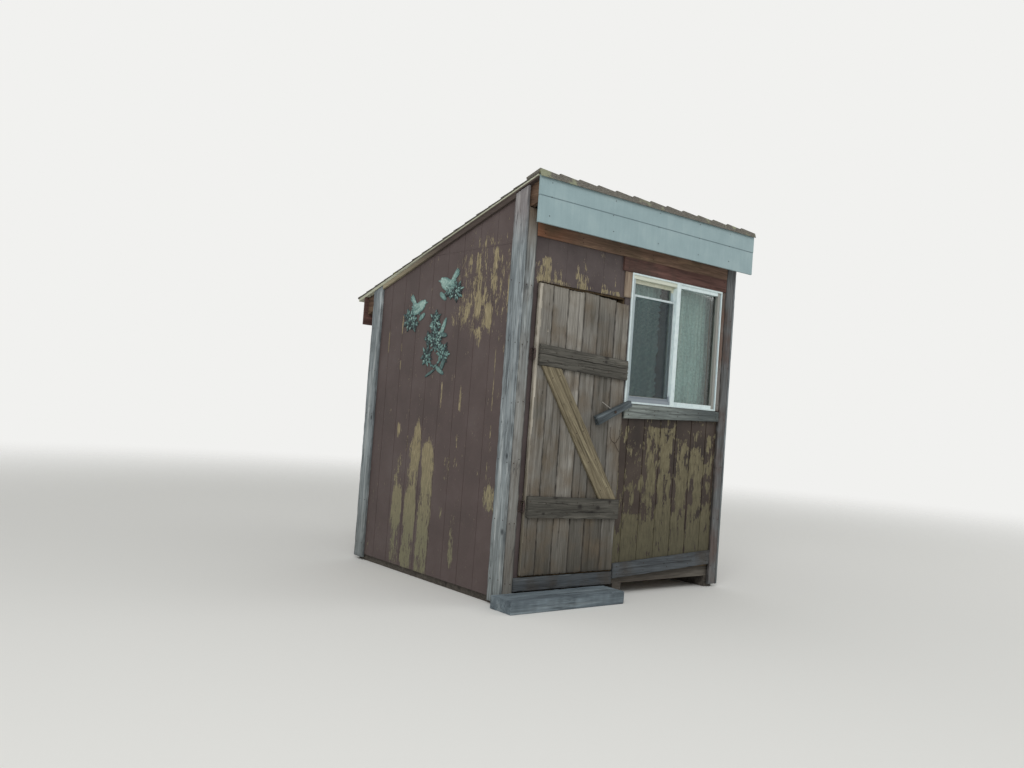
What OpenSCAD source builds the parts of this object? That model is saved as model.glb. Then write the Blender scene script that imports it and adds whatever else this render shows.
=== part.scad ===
// Small wooden outhouse with a single-slope roof, a ledged door and a slider window.
// Millimetres. +X right along the front wall, +Y from the front wall to the back, +Z up.
// Origin: on the ground under the centre of the whole part.

/* [Overall] */
// Width of the building across the siding
house_w = 2268; // [1900:1:2800]
// Depth of the building across the siding
house_d = 1960; // [1600:1:2500]
// Height of the roof surface over the front wall
front_h = 2910; // [2700:10:3500]
// Fall of the roof for each metre towards the back
roof_drop = 308; // [150:1:380]
// How far the roof reaches past the front wall
eave_front = 133; // [80:1:220]
// How far the roof reaches past the back wall
eave_back = 270; // [60:1:400]
// How far the roof reaches past the left wall
eave_left = 21; // [20:1:90]
// How far the roof reaches past the right wall
eave_right = 73; // [20:1:120]
// Distance from the back wall to the outer face of the back fascia
back_fascia_out = 175; // [60:1:250]
// Height of the back fascia
back_fascia_h = 232; // [150:1:260]

/* [Base] */
// Height of the ground timbers
skid_h = 90; // [60:1:140]
// Width of each ground timber
skid_w = 90; // [60:1:140]
// Height of the floor joists
joist_h = 82; // [60:1:140]
// Thickness of joists, studs and rafters
stud_t = 38; // [30:1:60]
// Thickness of the floor sheet
floor_t = 18; // [12:1:30]
// Depth of the timber laid in front of the door
step_d = 225; // [120:1:300]
// Height of the timber laid in front of the door
step_h = 92; // [50:1:120]
// Length of the timber laid in front of the door
step_l = 1050; // [600:10:1300]
// Where that timber starts, from the left wall face
step_x = -95; // [-200:5:100]

/* [Walls] */
// Thickness of the grooved siding
siding_t = 16; // [10:1:25]
// Depth of the wall studs and posts
stud_d = 89; // [60:1:140]
// Width of the corner posts
post_w = 89; // [60:1:95]
// Distance between grooves on the front and back walls
groove_pitch = 183.4; // [90:0.1:320]
// Distance from the left wall face to the first groove
groove_first = 24.5; // [0:0.5:180]
// Distance between grooves on the side walls
side_pitch = 197; // [90:1:320]
// Distance from the front wall face to a side wall's first groove
side_first = 119; // [0:1:180]
// Width of a siding groove
groove_w = 9; // [4:1:16]
// Depth of a siding groove under the window
groove_d = 5; // [2:1:8]
// Depth of the other grooves, nearly filled with paint
filled_d = 1.5; // [0.5:0.5:5]
// Height of the joint between the lower and upper siding sheets
seam_z = 2488; // [2100:1:2600]
// Height of the siding's lower edge on the sides and back
siding_foot = 50; // [20:1:120]
// Height of the siding's lower edge under the window
front_foot = 240; // [200:1:320]

/* [Trim] */
// Thickness of all trim boards
trim_t = 19; // [12:1:30]
// Width of a corner board on a side wall
corner_side_w = 121; // [60:1:160]
// Width of the left corner board on the front wall
corner_front_w = 90; // [60:1:120]
// Width of the right corner board on the front wall
corner_right_w = 98; // [60:1:130]
// Height of the two fascia boards together
fascia_h = 326; // [200:1:360]
// Share of the fascia height taken by its upper board
fascia_split = 0.43; // [0.3:0.01:0.6]
// Height of the board between the window and the frieze boards
header_h = 105; // [40:1:150]
// Height of the sill board
sill_h = 84; // [50:1:120]
// How much lower the sill board reaches at its left end
sill_drop = 31; // [0:1:50]
// Height of the grey board under the siding
base_h = 112; // [80:1:150]
// How much higher that board sits at its right end
base_rise = 58; // [0:1:80]
// Depth of the thin lath under the roof edge
lath_h = 34; // [20:1:60]

/* [Door] */
// Distance from the left wall face to the door
door_x = 138; // [125:1:200]
// Width of the door leaf
door_w = 890; // [700:1:900]
// Gap between the floor and the door leaf's lower edge
door_lift = 8; // [6:1:40]
// Height of the door leaf
door_h = 2030; // [1800:1:2100]
// Thickness of the door boards
door_t = 22; // [18:1:40]
// Gap between the door's back and the siding
door_gap = 6; // [5:1:12]
// Thickness of the ledges and the brace
ledge_t = 24; // [16:1:40]
// Width of each ledge
ledge_w = 148; // [90:1:180]
// How far the ledges run past the door's free edge
ledge_over = 8; // [0:1:12]
// How much the upper ledge drops towards the free edge
sag_high = 40; // [0:1:60]
// How much the lower ledge drops towards the free edge
sag_low = 24; // [0:1:60]
// Height of the upper ledge's left end above the door's foot
ledge_high = 1604; // [1300:1:1700]
// Height of the lower ledge's left end above the door's foot
ledge_low = 553; // [350:1:700]
// Distance from the door's left edge to the upper ledge
inset_high = 24; // [6:1:60]
// Distance from the door's left edge to the lower ledge
inset_low = 8; // [6:1:60]
// Width of the brace
brace_w = 146; // [80:1:160]

/* [Turn button] */
// Length of the wooden turn button
button_l = 374; // [200:1:400]
// Width of the turn button at its thick end
button_w = 70; // [40:1:80]
// Width of the turn button at its thin end
button_tip_w = 46; // [30:1:60]
// Thickness of the turn button
button_t = 36; // [20:1:50]
// Angle of the turn button above level
button_tilt = 23.6; // [0:0.1:45]
// Distance from the door's free edge to the button's screw
button_in = 120; // [60:1:250]
// Height of the button's screw above the door's foot
button_z = 1175; // [900:1:1300]

/* [Window] */
// Distance from the door leaf to the window frame
window_gap = 32; // [20:1:250]
// Width of the window frame
window_w = 1070; // [700:1:1100]
// Height of the window frame
window_h = 992; // [600:1:1000]
// Height of the window frame's lower edge
window_z = 1448; // [1300:1:1500]
// Width of the frame's rails seen from the front
frame_w = 42; // [30:1:60]
// Width of the raised lip around the frame
lip_w = 14; // [8:1:28]
// Height of that lip above the rest of the frame
lip_d = 9; // [3:1:11]
// Thickness of the glass panes
glass_t = 5; // [3:1:8]
// How far the insect screen has slipped down
screen_slip = 118; // [0:1:200]

/* [Roof] */
// Depth of the rafters
rafter_d = 140; // [90:1:190]
// Number of rafters
rafter_n = 5; // [3:1:7]
// Thickness of the roof deck
deck_t = 24; // [9:1:30]
// Thickness of the shingle covering
shingle_t = 10; // [7:1:14]
// Height of shingle left uncovered in each course
course = 140; // [100:1:200]
// Number of cap shingles along the front edge
cap_n = 13; // [8:1:20]
// Height of the lifted end of each cap shingle
cap_lift = 13; // [6:1:20]

/* [Curtains] */
// Thickness allowed for a hanging curtain's folds
curtain_t = 26; // [12:1:40]
// Width of the left curtain as it hangs
curtain_left_w = 470; // [300:1:480]
// Gap between the two curtains
curtain_parting = 166; // [20:1:200]
// Gap between the studs and the curtains
curtain_gap = 13; // [7:1:60]

/* [Hidden] */
slope = roof_drop / 1000;
stretch = sqrt(1 + slope * slope);
pitch_deg = atan(slope);
roof_l = -eave_left;
roof_r = house_w + eave_right;
y_front = -eave_front;
y_back = house_d + eave_back;
step_y = -trim_t - step_d - 0.3;
fascia_back_y = house_d + back_fascia_out;
eave_lap = 12;
side_lap = 4;
mid_x = (min(step_x, roof_l - side_lap) + roof_r + side_lap) / 2;
mid_y = (step_y + y_back + eave_lap) / 2;
floor_z = skid_h + joist_h + floor_t;
door_z = floor_z + door_lift;
button_x = door_w - button_in;
curtain_y = siding_t + stud_d + curtain_gap;
curtain_left_in = 16;
curtain_right_over = 20;
seat = 0.3;
deck_off = shingle_t * stretch + seat;
rafter_off = deck_off + deck_t * stretch + seat;
plate_off = rafter_off + rafter_d * stretch;
seam_y = (front_h - rafter_off - seam_z) / slope;
door_face = -door_gap - door_t;
door_top = door_z + door_h;
head_gap = 8;
head_z = door_top + head_gap;
head_rail_h = 90;
jamb_lap_l = 4;
jamb_lap_r = 22;
jamb_l = door_x + jamb_lap_l;
jamb_r = door_x + door_w - jamb_lap_r;
rough_gap = 4;
window_x = door_x + door_w + window_gap;
window_r = window_x + window_w;
window_top = window_z + window_h;
frieze_z = window_top + header_h;
rod_z = window_top + 22;
rod_r = 7;
lap = 18;
mullion_share = 0.497;
mullion_x = window_x + window_w * mullion_share;
fascia_top = roof_z(y_front + trim_t, deck_off) - seat;
fascia_foot = fascia_top - fascia_h;
fascia_mid = fascia_top - fascia_h * fascia_split;
hinge_x = door_x - 9;
hinge_y = door_face - 3;
hinge_r = 6.5;
pin_r = 3.5;
hinge_half = 40;
ledge_r = door_x + door_w + ledge_over;
corner_l = house_w - corner_right_w;
casing_t = 12;
frame_back = 70;
mullion_w = 44;
pane_l = window_x + frame_w;
pane_w = mullion_x - mullion_w / 2 - pane_l;
screen_rail = 16;
screen_y = 4;
sash_y = 30;
sash_t = 22;
sash_rail = 20;
sash_head = 28;
button_off = 8;
button_back = door_face - button_off;
screw_r = 5;
plaque_t = 6;
eps = 0.01;
groove_edge = 12;
seam_w = 4;
trim_foot = 20;
threshold_drop = 2;
threshold_h = 94;
board_gap = 2;
sill_out = 30;

function roof_z(y, off) = front_h - slope * y - off;

// Every piece is drawn from the front left corner of the siding and moved to the origin.
module placed() {
  translate([-mid_x, -mid_y, 0])
    children();
}

// A block whose top follows the roof at a given distance below the roof surface.
module under_roof(x, dx, y0, y1, z0, off) {
  translate([x, 0, 0])
    rotate([90, 0, 90])
      linear_extrude(height = dx)
        polygon([[y0, z0], [y1, z0], [y1, roof_z(y1, off)], [y0, roof_z(y0, off)]]);
}

// A layer that follows the roof between two distances below the roof surface.
module roof_band(x, dx, y0, y1, top, foot) {
  translate([x, 0, 0])
    rotate([90, 0, 90])
      linear_extrude(height = dx)
        polygon([[y0, roof_z(y0, foot)], [y1, roof_z(y1, foot)], [y1, roof_z(y1, top)], [y0, roof_z(y0, top)]]);
}

// Vertical grooves cut into a front or back sheet, counted from a wall's left end.
module face_grooves(x0, x1, z0, z1, y, d) {
  for (x = [groove_first : groove_pitch : house_w])
    if (x > x0 + groove_edge && x < x1 - groove_edge)
      translate([x - groove_w / 2, y, z0 - 1])
        cube([groove_w, d, z1 - z0 + 2]);
}

// Vertical grooves cut into a side sheet, counted from the front of the wall.
module side_grooves(y0, y1, z0, z1, x) {
  for (y = [side_first : side_pitch : house_d])
    if (y > y0 + groove_edge && y < y1 - groove_edge)
      translate([x, y - groove_w / 2, z0 - 1])
        cube([filled_d, groove_w, z1 - z0 + 2]);
}

// One rectangular front sheet with its grooves.
module front_sheet(x0, x1, z0, z1, d) {
  difference() {
    translate([x0, 0, z0])
      cube([x1 - x0, siding_t, z1 - z0]);
    face_grooves(x0, x1, z0, z1, -eps, d);
  }
}

// One front sheet that runs up to the roof deck.
module front_sheet_high(x0, x1, z0) {
  difference() {
    under_roof(x0, x1 - x0, 0, siding_t, z0, plate_off);
    face_grooves(x0, x1, z0, front_h, -eps, filled_d);
  }
}

// A side wall's siding, with its upright grooves and the level joint between two sheets.
module side_sheet(x, groove_x) {
  difference() {
    under_roof(x, siding_t, 0, house_d, siding_foot, rafter_off);
    side_grooves(0, house_d, siding_foot, front_h, groove_x);
    translate([groove_x, -1, seam_z - seam_w / 2])
      cube([filled_d, seam_y + 1, seam_w]);
  }
}

// Three ground timbers from front to back.
module skids() {
  color([0.42, 0.40, 0.38])
    placed()
      for (x = [siding_t, house_w / 2 - skid_w / 2, house_w - siding_t - skid_w])
        translate([x, siding_t, 0])
          cube([skid_w, house_d - 2 * siding_t, skid_h]);
}

// Joists across the ground timbers with a rim at the front and the back.
module floor_joists() {
  bays = 4;
  color([0.50, 0.45, 0.38])
    placed()
      for (i = [0 : bays])
        translate([siding_t, siding_t + i * (house_d - 2 * siding_t - stud_t) / bays, skid_h])
          cube([house_w - 2 * siding_t, stud_t, joist_h]);
}

module floor_deck() {
  color([0.52, 0.46, 0.36])
    placed()
      translate([siding_t, siding_t, skid_h + joist_h])
        cube([house_w - 2 * siding_t, house_d - 2 * siding_t, floor_t]);
}

// The threshold under the door and the grey board under the grooved siding.
module base_boards() {
  base_left = 16;
  base_lap = 4;
  base_x = window_x - base_left;
  top_z = front_foot + base_lap;
  color([0.42, 0.44, 0.46])
    placed() {
      translate([corner_front_w + board_gap, -trim_t, floor_z - threshold_drop - threshold_h])
        cube([base_x - 2 * board_gap - corner_front_w, trim_t, threshold_h]);
      rotate([90, 0, 0])
        linear_extrude(height = trim_t)
          polygon([
            [base_x, top_z - base_h],
            [corner_l - seat, top_z - base_h + base_rise],
            [corner_l - seat, top_z + base_rise],
            [base_x, top_z]
          ]);
    }
}

module door_step() {
  color([0.47, 0.50, 0.53])
    placed()
      translate([step_x, step_y, 0])
        cube([step_l, step_d, step_h]);
}

// Posts in the corners, studs beside the openings and between the corners.
module wall_posts() {
  inner = siding_t + stud_d;
  color([0.55, 0.47, 0.36])
    placed() {
      for (right = [false, true]) {
        post_x = right ? house_w - siding_t - post_w : siding_t;
        stud_x = right ? house_w - siding_t - stud_t : siding_t;
        under_roof(post_x, post_w, siding_t, inner, floor_z, plate_off);
        under_roof(post_x, post_w, house_d - inner, house_d - siding_t, floor_z, plate_off);
        for (i = [1 : 2])
          under_roof(
            stud_x, stud_t,
            i * house_d / 3 - post_w / 2, i * house_d / 3 + post_w / 2, floor_z, plate_off
          );
      }
      for (x = [jamb_l - stud_t, jamb_r])
        under_roof(x, stud_t, siding_t, inner, floor_z, plate_off);
      under_roof(window_r - lap + rough_gap, stud_t, siding_t, inner, floor_z, plate_off);
      for (i = [1 : 3])
        under_roof(
          i * house_w / 4 - stud_t / 2, stud_t, house_d - inner, house_d - siding_t, floor_z, plate_off
        );
    }
}

// Rails between the front studs: over the door, over and under the window.
module wall_rails() {
  color([0.55, 0.47, 0.36])
    placed() {
      translate([jamb_l, siding_t, head_z - groove_edge])
        cube([jamb_r - jamb_l, stud_d, head_rail_h]);
      for (z = [window_z + lap - rough_gap - stud_t, window_top - lap + rough_gap])
        translate([jamb_r + stud_t, siding_t, z])
          cube([window_r - lap + rough_gap - jamb_r - stud_t, stud_d, stud_t]);
    }
}

module siding_left() {
  color([0.34, 0.29, 0.30])
    placed()
      side_sheet(0, -eps);
}

module siding_right() {
  color([0.34, 0.29, 0.30])
    placed()
      side_sheet(house_w - siding_t, house_w - filled_d + eps);
}

module siding_back() {
  color([0.34, 0.29, 0.30])
    placed()
      difference() {
        under_roof(siding_t, house_w - 2 * siding_t, house_d - siding_t, house_d, siding_foot, plate_off);
        face_grooves(siding_t, house_w - siding_t, siding_foot, front_h, house_d - filled_d + eps, filled_d);
      }
}

// The narrow strip between the front left corner board and the doorway.
module siding_jamb() {
  color([0.34, 0.29, 0.30])
    placed()
      front_sheet(siding_t, jamb_l, skid_h, head_z, filled_d);
}

// One sheet runs over the doorway and the window.
module siding_head() {
  color([0.34, 0.29, 0.30])
    placed() {
      front_sheet_high(siding_t, window_x + lap, head_z);
      front_sheet_high(window_x + lap, house_w - siding_t, window_top - lap);
    }
}

// The strips left and right of the window.
module siding_beside_window() {
  color([0.34, 0.29, 0.30])
    placed() {
      front_sheet(jamb_r, window_x + lap, window_z + lap, head_z, filled_d);
      front_sheet(window_r - lap, house_w - siding_t, window_z + lap, window_top - lap, filled_d);
    }
}

module siding_under_window() {
  color([0.44, 0.39, 0.32])
    placed()
      front_sheet(jamb_r, house_w - siding_t, front_foot, window_z + lap, groove_d);
}

// Pairs of boards around the two front corners: one on the side wall and one on the front wall.
module corner_boards_front() {
  color([0.51, 0.54, 0.58])
    placed() {
      under_roof(-trim_t, trim_t, -trim_t, corner_side_w, trim_foot, rafter_off);
      under_roof(0, corner_front_w, -trim_t, 0, trim_foot, plate_off);
      under_roof(house_w, trim_t, -trim_t, corner_side_w, trim_foot, rafter_off);
      under_roof(corner_l, corner_right_w, -trim_t, 0, trim_foot, plate_off);
    }
}

// The same boards around the two back corners.
module corner_boards_back() {
  color([0.51, 0.54, 0.58])
    placed()
      for (x = [-trim_t, house_w]) {
        under_roof(x, trim_t, house_d - corner_side_w, house_d + trim_t, trim_foot, rafter_off);
        under_roof(
          x < 0 ? 0 : house_w - corner_front_w, corner_front_w,
          house_d, house_d + trim_t, trim_foot, plate_off
        );
      }
}

// Boards directly under the fascia, in two lengths.
module frieze_boards() {
  frieze_short = 624;
  joint = 2;
  joint_x = corner_l - frieze_short;
  color([0.37, 0.23, 0.19])
    placed() {
      under_roof(corner_front_w, joint_x - joint / 2 - corner_front_w, -trim_t, 0, frieze_z, plate_off);
      under_roof(
        joint_x + joint / 2, corner_l - seat - joint_x - joint / 2,
        joint - trim_t, 0, frieze_z, plate_off
      );
    }
}

module header_board() {
  header_lap = 102;
  header_t = trim_t - 3;
  color([0.37, 0.21, 0.18])
    placed()
      translate([window_x - header_lap, -header_t, window_top])
        cube([corner_l - seat - window_x + header_lap, header_t, frieze_z - window_top]);
}

// A short unpainted strip beside the window's head and a full one at its right.
module window_casings() {
  strip_w = 72;
  strip_gap = 4;
  right_gap = 3;
  right_t = trim_t - 4;
  color([0.45, 0.32, 0.26])
    placed() {
      translate([window_x - strip_w - strip_gap, -casing_t, head_z + strip_gap])
        cube([strip_w, casing_t, window_top - head_z - strip_gap]);
      translate([window_r + right_gap, -right_t, window_z])
        cube([corner_l - window_r - right_gap - seat, right_t, window_h]);
    }
}

// The sill board's lower edge drops towards its left end.
module sill_board() {
  over_l = 14;
  over_r = 32;
  sill_gap = 4;
  x0 = window_x - over_l;
  x1 = window_r + over_r;
  top_z = window_z - sill_gap;
  foot_z = window_z - sill_h;
  color([0.42, 0.45, 0.42])
    placed()
      rotate([90, 0, 0])
        linear_extrude(height = sill_out)
          polygon([[x0, foot_z - sill_drop], [x1, foot_z], [x1, top_z], [x0, top_z]]);
}

// A flat ring of rails around an opening, drawn upright.
module rail_ring(x, z, w, h, rail, y0, y1) {
  translate([x, y0, z])
    difference() {
      cube([w, y1 - y0, h]);
      translate([rail, -1, rail])
        cube([w - 2 * rail, y1 - y0 + 2, h - 2 * rail]);
    }
}

module window_frame() {
  fin = lap + 2;
  through = 20;
  color([0.80, 0.86, 0.86])
    placed()
      difference() {
        union() {
          translate([window_x, -casing_t, window_z])
            cube([window_w, casing_t, window_h]);
          translate([window_x + fin, -1, window_z + fin])
            cube([window_w - 2 * fin, frame_back + 1, window_h - 2 * fin]);
        }
        for (left = [true, false]) {
          x0 = left ? window_x : mullion_x + mullion_w / 2;
          x1 = left ? mullion_x - mullion_w / 2 : window_r;
          in_l = left ? 1 : 0;
          translate([x0 + in_l * frame_w, -through, window_z + frame_w])
            cube([x1 - x0 - frame_w, frame_back + 2 * through, window_h - 2 * frame_w]);
          translate([x0 + in_l * lip_w, -through, window_z + lip_w])
            cube([x1 - x0 - lip_w, through - casing_t + lip_d, window_h - 2 * lip_w]);
        }
      }
}

// The sliding sash in the left half, shut. Its head rail is deeper than the others.
module sash_left() {
  w = pane_w - 2 * seat;
  h = window_h - 2 * frame_w - 2 * seat;
  color([0.78, 0.78, 0.66])
    placed()
      translate([pane_l + seat, sash_y, window_z + frame_w + seat])
        difference() {
          cube([w, sash_t, h]);
          translate([sash_rail, -1, sash_rail])
            cube([w - 2 * sash_rail, sash_t + 2, h - sash_rail - sash_head]);
        }
}

// One pane in the sliding sash and one fixed pane.
module window_glass() {
  edge = sash_rail + 2 * seat;
  fixed_x = mullion_x + mullion_w / 2 + seat;
  color([0.55, 0.62, 0.62, 0.4])
    placed() {
      translate([pane_l + edge, sash_y + sash_t / 2 - glass_t / 2, window_z + frame_w + edge])
        cube([pane_w - 2 * edge, glass_t, window_h - 2 * frame_w - edge - sash_head - 2 * seat]);
      translate([fixed_x, sash_t, window_z + frame_w + seat])
        cube([window_r - frame_w - seat - fixed_x, glass_t, window_h - 2 * frame_w - 2 * seat]);
    }
}

// The insect screen's frame stands in the left half in front of the sash and has slipped down.
module screen_frame() {
  h = window_h - 2 * frame_w - screen_slip;
  color([0.74, 0.80, 0.80])
    placed()
      rail_ring(
        pane_l + seat, window_z + frame_w + seat, pane_w - 2 * seat, h,
        screen_rail, screen_y, screen_y + 10
      );
}

module screen_mesh() {
  edge = screen_rail + 2 * seat;
  h = window_h - 2 * frame_w - screen_slip + 2 * seat;
  color([0.30, 0.33, 0.34, 0.7])
    placed()
      translate([pane_l + edge, screen_y + 4, window_z + frame_w + edge])
        cube([pane_w - 2 * edge, 1.2, h - 2 * edge]);
}

module curtain_rod() {
  over = 30;
  arm_w = 12;
  arm_h = 2 * rod_r;
  arm_in = 18;
  color([0.75, 0.73, 0.68])
    placed() {
      translate([window_x - over, curtain_y + curtain_t / 2, rod_z])
        rotate([0, 90, 0])
          cylinder(h = window_w + 2 * over, r = rod_r, $fn = 48);
      for (x = [window_x - arm_in, window_r + arm_in - arm_w])
        translate([x, siding_t + stud_d, rod_z - arm_h / 2])
          cube([arm_w, curtain_y - siding_t - stud_d + curtain_t / 2, arm_h]);
    }
}

// A plain block as deep as a curtain's folds, just under the rod.
module curtain_block(x, w) {
  foot_z = window_z + 8;
  translate([x, curtain_y, foot_z])
    cube([w, curtain_t, rod_z - rod_r - 0.5 - foot_z]);
}

module curtain_left() {
  color([0.62, 0.70, 0.68])
    placed()
      curtain_block(window_x + curtain_left_in, curtain_left_w);
}

module curtain_right() {
  x = window_x + curtain_left_in + curtain_left_w + curtain_parting;
  color([0.62, 0.70, 0.68])
    placed()
      curtain_block(x, window_r + curtain_right_over - x);
}

module rafters() {
  color([0.36, 0.27, 0.23])
    placed()
      for (i = [0 : rafter_n - 1])
        roof_band(
          siding_t + i * (house_w - 2 * siding_t - stud_t) / (rafter_n - 1), stud_t,
          y_front + trim_t, fascia_back_y - trim_t, rafter_off, plate_off
        );
}

module roof_deck() {
  color([0.58, 0.50, 0.38])
    placed()
      roof_band(roof_l, roof_r - roof_l, y_front + trim_t, y_back, deck_off, rafter_off - seat);
}

// Shingle courses, each lapping the one below it, so the roof falls in low steps.
module shingles() {
  low_share = 0.55;
  run = y_back + eave_lap - y_front;
  n = floor(run / course);
  low = shingle_t * low_share;
  start = y_back + eave_lap - n * course;
  steps = [for (i = [0 : n - 1]) each [
    [start + i * course, low], [start + (i + 1) * course, 0], [start + (i + 1) * course, low]
  ]];
  color([0.44, 0.42, 0.40])
    placed()
      translate([roof_l - side_lap, 0, 0])
        rotate([90, 0, 90])
          linear_extrude(height = roof_r - roof_l + 2 * side_lap)
            polygon([
              [y_front, roof_z(y_front, deck_off - seat)],
              [y_front, roof_z(y_front, 0)],
              [start, roof_z(start, 0)],
              for (p = steps) if (p[0] < y_back + eave_lap || p[1] == 0) [p[0], roof_z(p[0], p[1])],
              [y_back + eave_lap, roof_z(y_back + eave_lap, deck_off - seat)]
            ]);
}

// Lapped cap shingles bent over the high edge, with a sawtooth outline seen from the front.
module cap_row() {
  cap_t = 4;
  cap_d = 150;
  cap_down = 38;
  cap_out = 6;
  n = cap_n;
  tab = (roof_r - roof_l + 2 * side_lap) / n;
  top = [for (i = [0 : n - 1]) each [
    [i * tab, cap_t + cap_lift], [i * tab + 6, cap_t + 1 + cap_lift], [(i + 1) * tab - 2, cap_t]
  ]];
  color([0.52, 0.49, 0.45])
    placed()
      translate([roof_l - side_lap, y_front - cap_out, roof_z(y_front - cap_out, 0)])
        rotate([-pitch_deg, 0, 0]) {
          translate([0, cap_d, seat])
            rotate([90, 0, 0])
              linear_extrude(height = cap_d)
                polygon(concat([[0, 0]], top, [[n * tab, cap_t], [n * tab, 0]]));
          translate([0, cap_t, -cap_down])
            rotate([90, 0, 0])
              linear_extrude(height = cap_t)
                polygon(concat(
                  [[0, 0]], [for (p = top) p + [0, cap_down]],
                  [[n * tab, cap_t + cap_down], [n * tab, cap_t]]
                ));
        }
}

// Two boards, one above the other, with a thin joint.
module fascia_front() {
  end_in = 14;
  end_out = 2;
  lower_in = 2;
  joint = 0.8;
  w = roof_r + end_out - roof_l - end_in;
  color([0.57, 0.66, 0.67])
    placed() {
      translate([roof_l + end_in, y_front, fascia_mid])
        cube([w, trim_t, fascia_top - fascia_mid]);
      translate([roof_l + end_in, y_front + lower_in, fascia_foot])
        cube([w, trim_t - lower_in, fascia_mid - fascia_foot - joint]);
    }
}

module fascia_back() {
  color([0.36, 0.31, 0.28])
    placed()
      under_roof(
        roof_l, roof_r - roof_l, fascia_back_y - trim_t, fascia_back_y,
        roof_z(fascia_back_y, rafter_off) - back_fascia_h, rafter_off
      );
}

// Thin laths under the roof edge along both side walls.
module rake_laths() {
  color([0.62, 0.52, 0.40])
    placed() {
      roof_band(-trim_t, trim_t, corner_side_w, house_d - corner_side_w, rafter_off, rafter_off + lath_h);
      roof_band(house_w, trim_t, corner_side_w, house_d - corner_side_w, rafter_off, rafter_off + lath_h);
    }
}

// Six upright boards with open joints. Each head is cut at its own height and slope.
module door_boards() {
  share = [0, 0.146, 0.310, 0.486, 0.648, 0.842, 1.0];
  short = [[0, 3], [6, 8], [16, 12], [8, 16], [20, 26], [38, 42]];
  gap = 3;
  color([0.45, 0.42, 0.38])
    placed()
      for (i = [0 : 5]) {
        x0 = door_x + door_w * share[i] + gap / 2;
        x1 = door_x + door_w * share[i + 1] - gap / 2;
        translate([0, -door_gap, 0])
          rotate([90, 0, 0])
            linear_extrude(height = door_t)
              polygon([[x0, door_z], [x1, door_z], [x1, door_top - short[i][1]], [x0, door_top - short[i][0]]]);
      }
}

// A sagging cross board, drawn from its upper left corner.
module ledge(z, inset, sag) {
  translate([0, door_face, door_z + z])
    rotate([90, 0, 0])
      linear_extrude(height = ledge_t)
        polygon([
          [door_x + inset, -ledge_w],
          [ledge_r, -ledge_w - sag],
          [ledge_r, -sag],
          [door_x + inset, 0]
        ]);
}

module door_ledges() {
  color([0.34, 0.31, 0.28])
    placed() {
      ledge(ledge_low, inset_low, sag_low);
      ledge(ledge_high, inset_high, sag_high);
    }
}

// Height of a ledge's upper edge at a distance from the left wall face.
function ledge_top(x, z, inset, sag) = door_z + z - sag * (x - door_x - inset) / (ledge_r - door_x - inset);

// The diagonal brace fits between the two ledges.
module door_brace() {
  head_in = 54;
  foot_in = 204;
  x0 = door_x + head_in;
  x1 = door_x + door_w - foot_in;
  drop = ledge_high - ledge_w - ledge_low;
  wide = brace_w / cos(atan((x1 - x0) / drop));
  color([0.48, 0.43, 0.37])
    placed()
      translate([0, door_face, 0])
        rotate([90, 0, 0])
          linear_extrude(height = ledge_t)
            polygon([
              for (x = [x0, x0 + wide]) [x, ledge_top(x, ledge_high - ledge_w, inset_high, sag_high) - seat],
              for (x = [x1 + wide, x1]) [x, ledge_top(x, ledge_low, inset_low, sag_low) + seat]
            ]);
}

// Height of the middle of each hinge, level with the ledges.
function hinge_heights() = [door_z + ledge_low - ledge_w / 2, door_z + ledge_high - ledge_w / 2];

// Two hinge pins held by brackets on the jamb, in the gap beside the door.
module hinge_pins() {
  plate_t = 3;
  arm_t = 4;
  color([0.22, 0.18, 0.16])
    placed()
      for (z = hinge_heights()) {
        translate([hinge_x, hinge_y, z - hinge_half])
          cylinder(h = 2 * hinge_half, r = pin_r, $fn = 48);
        translate([hinge_x - 30, -plate_t, z - hinge_half])
          cube([30, plate_t, 2 * hinge_half]);
        for (h = [-hinge_half, hinge_half - arm_t])
          translate([hinge_x - 5, hinge_y - 5, z + h])
            cube([10, -hinge_y + 3, arm_t]);
      }
}

// The eye and leaf of each hinge. The leaf lies on the door's edge, out of sight.
module hinge_leaves() {
  leaf_t = 2.6;
  leaf_x = door_x + 1.4 - leaf_t - hinge_x;
  half = hinge_half - 10;
  color([0.22, 0.18, 0.16])
    placed()
      for (z = hinge_heights())
        translate([hinge_x, hinge_y, z - half])
          difference() {
            union() {
              cylinder(h = 2 * half, r = hinge_r, $fn = 48);
              translate([0, -1.3, 0])
                cube([leaf_x + leaf_t, 2.6, 2 * half]);
              translate([leaf_x, -1.3, 0])
                cube([leaf_t, door_t - 1, 2 * half]);
            }
            translate([0, 0, -1])
              cylinder(h = 2 * half + 2, r = pin_r + 0.2, $fn = 48);
          }
}

// The screw the turn button turns on.
module button_screw() {
  color([0.30, 0.27, 0.25])
    placed()
      translate([door_x + button_x, door_face, door_z + button_z])
        rotate([90, 0, 0]) {
          cylinder(h = button_off + button_t + 2, r = screw_r, $fn = 48);
          translate([0, 0, button_off + button_t + 1])
            cylinder(h = 4, r = 2 * screw_r, $fn = 48);
          cylinder(h = button_off - 2, r = 2 * screw_r + 1, $fn = 48);
        }
}

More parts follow.
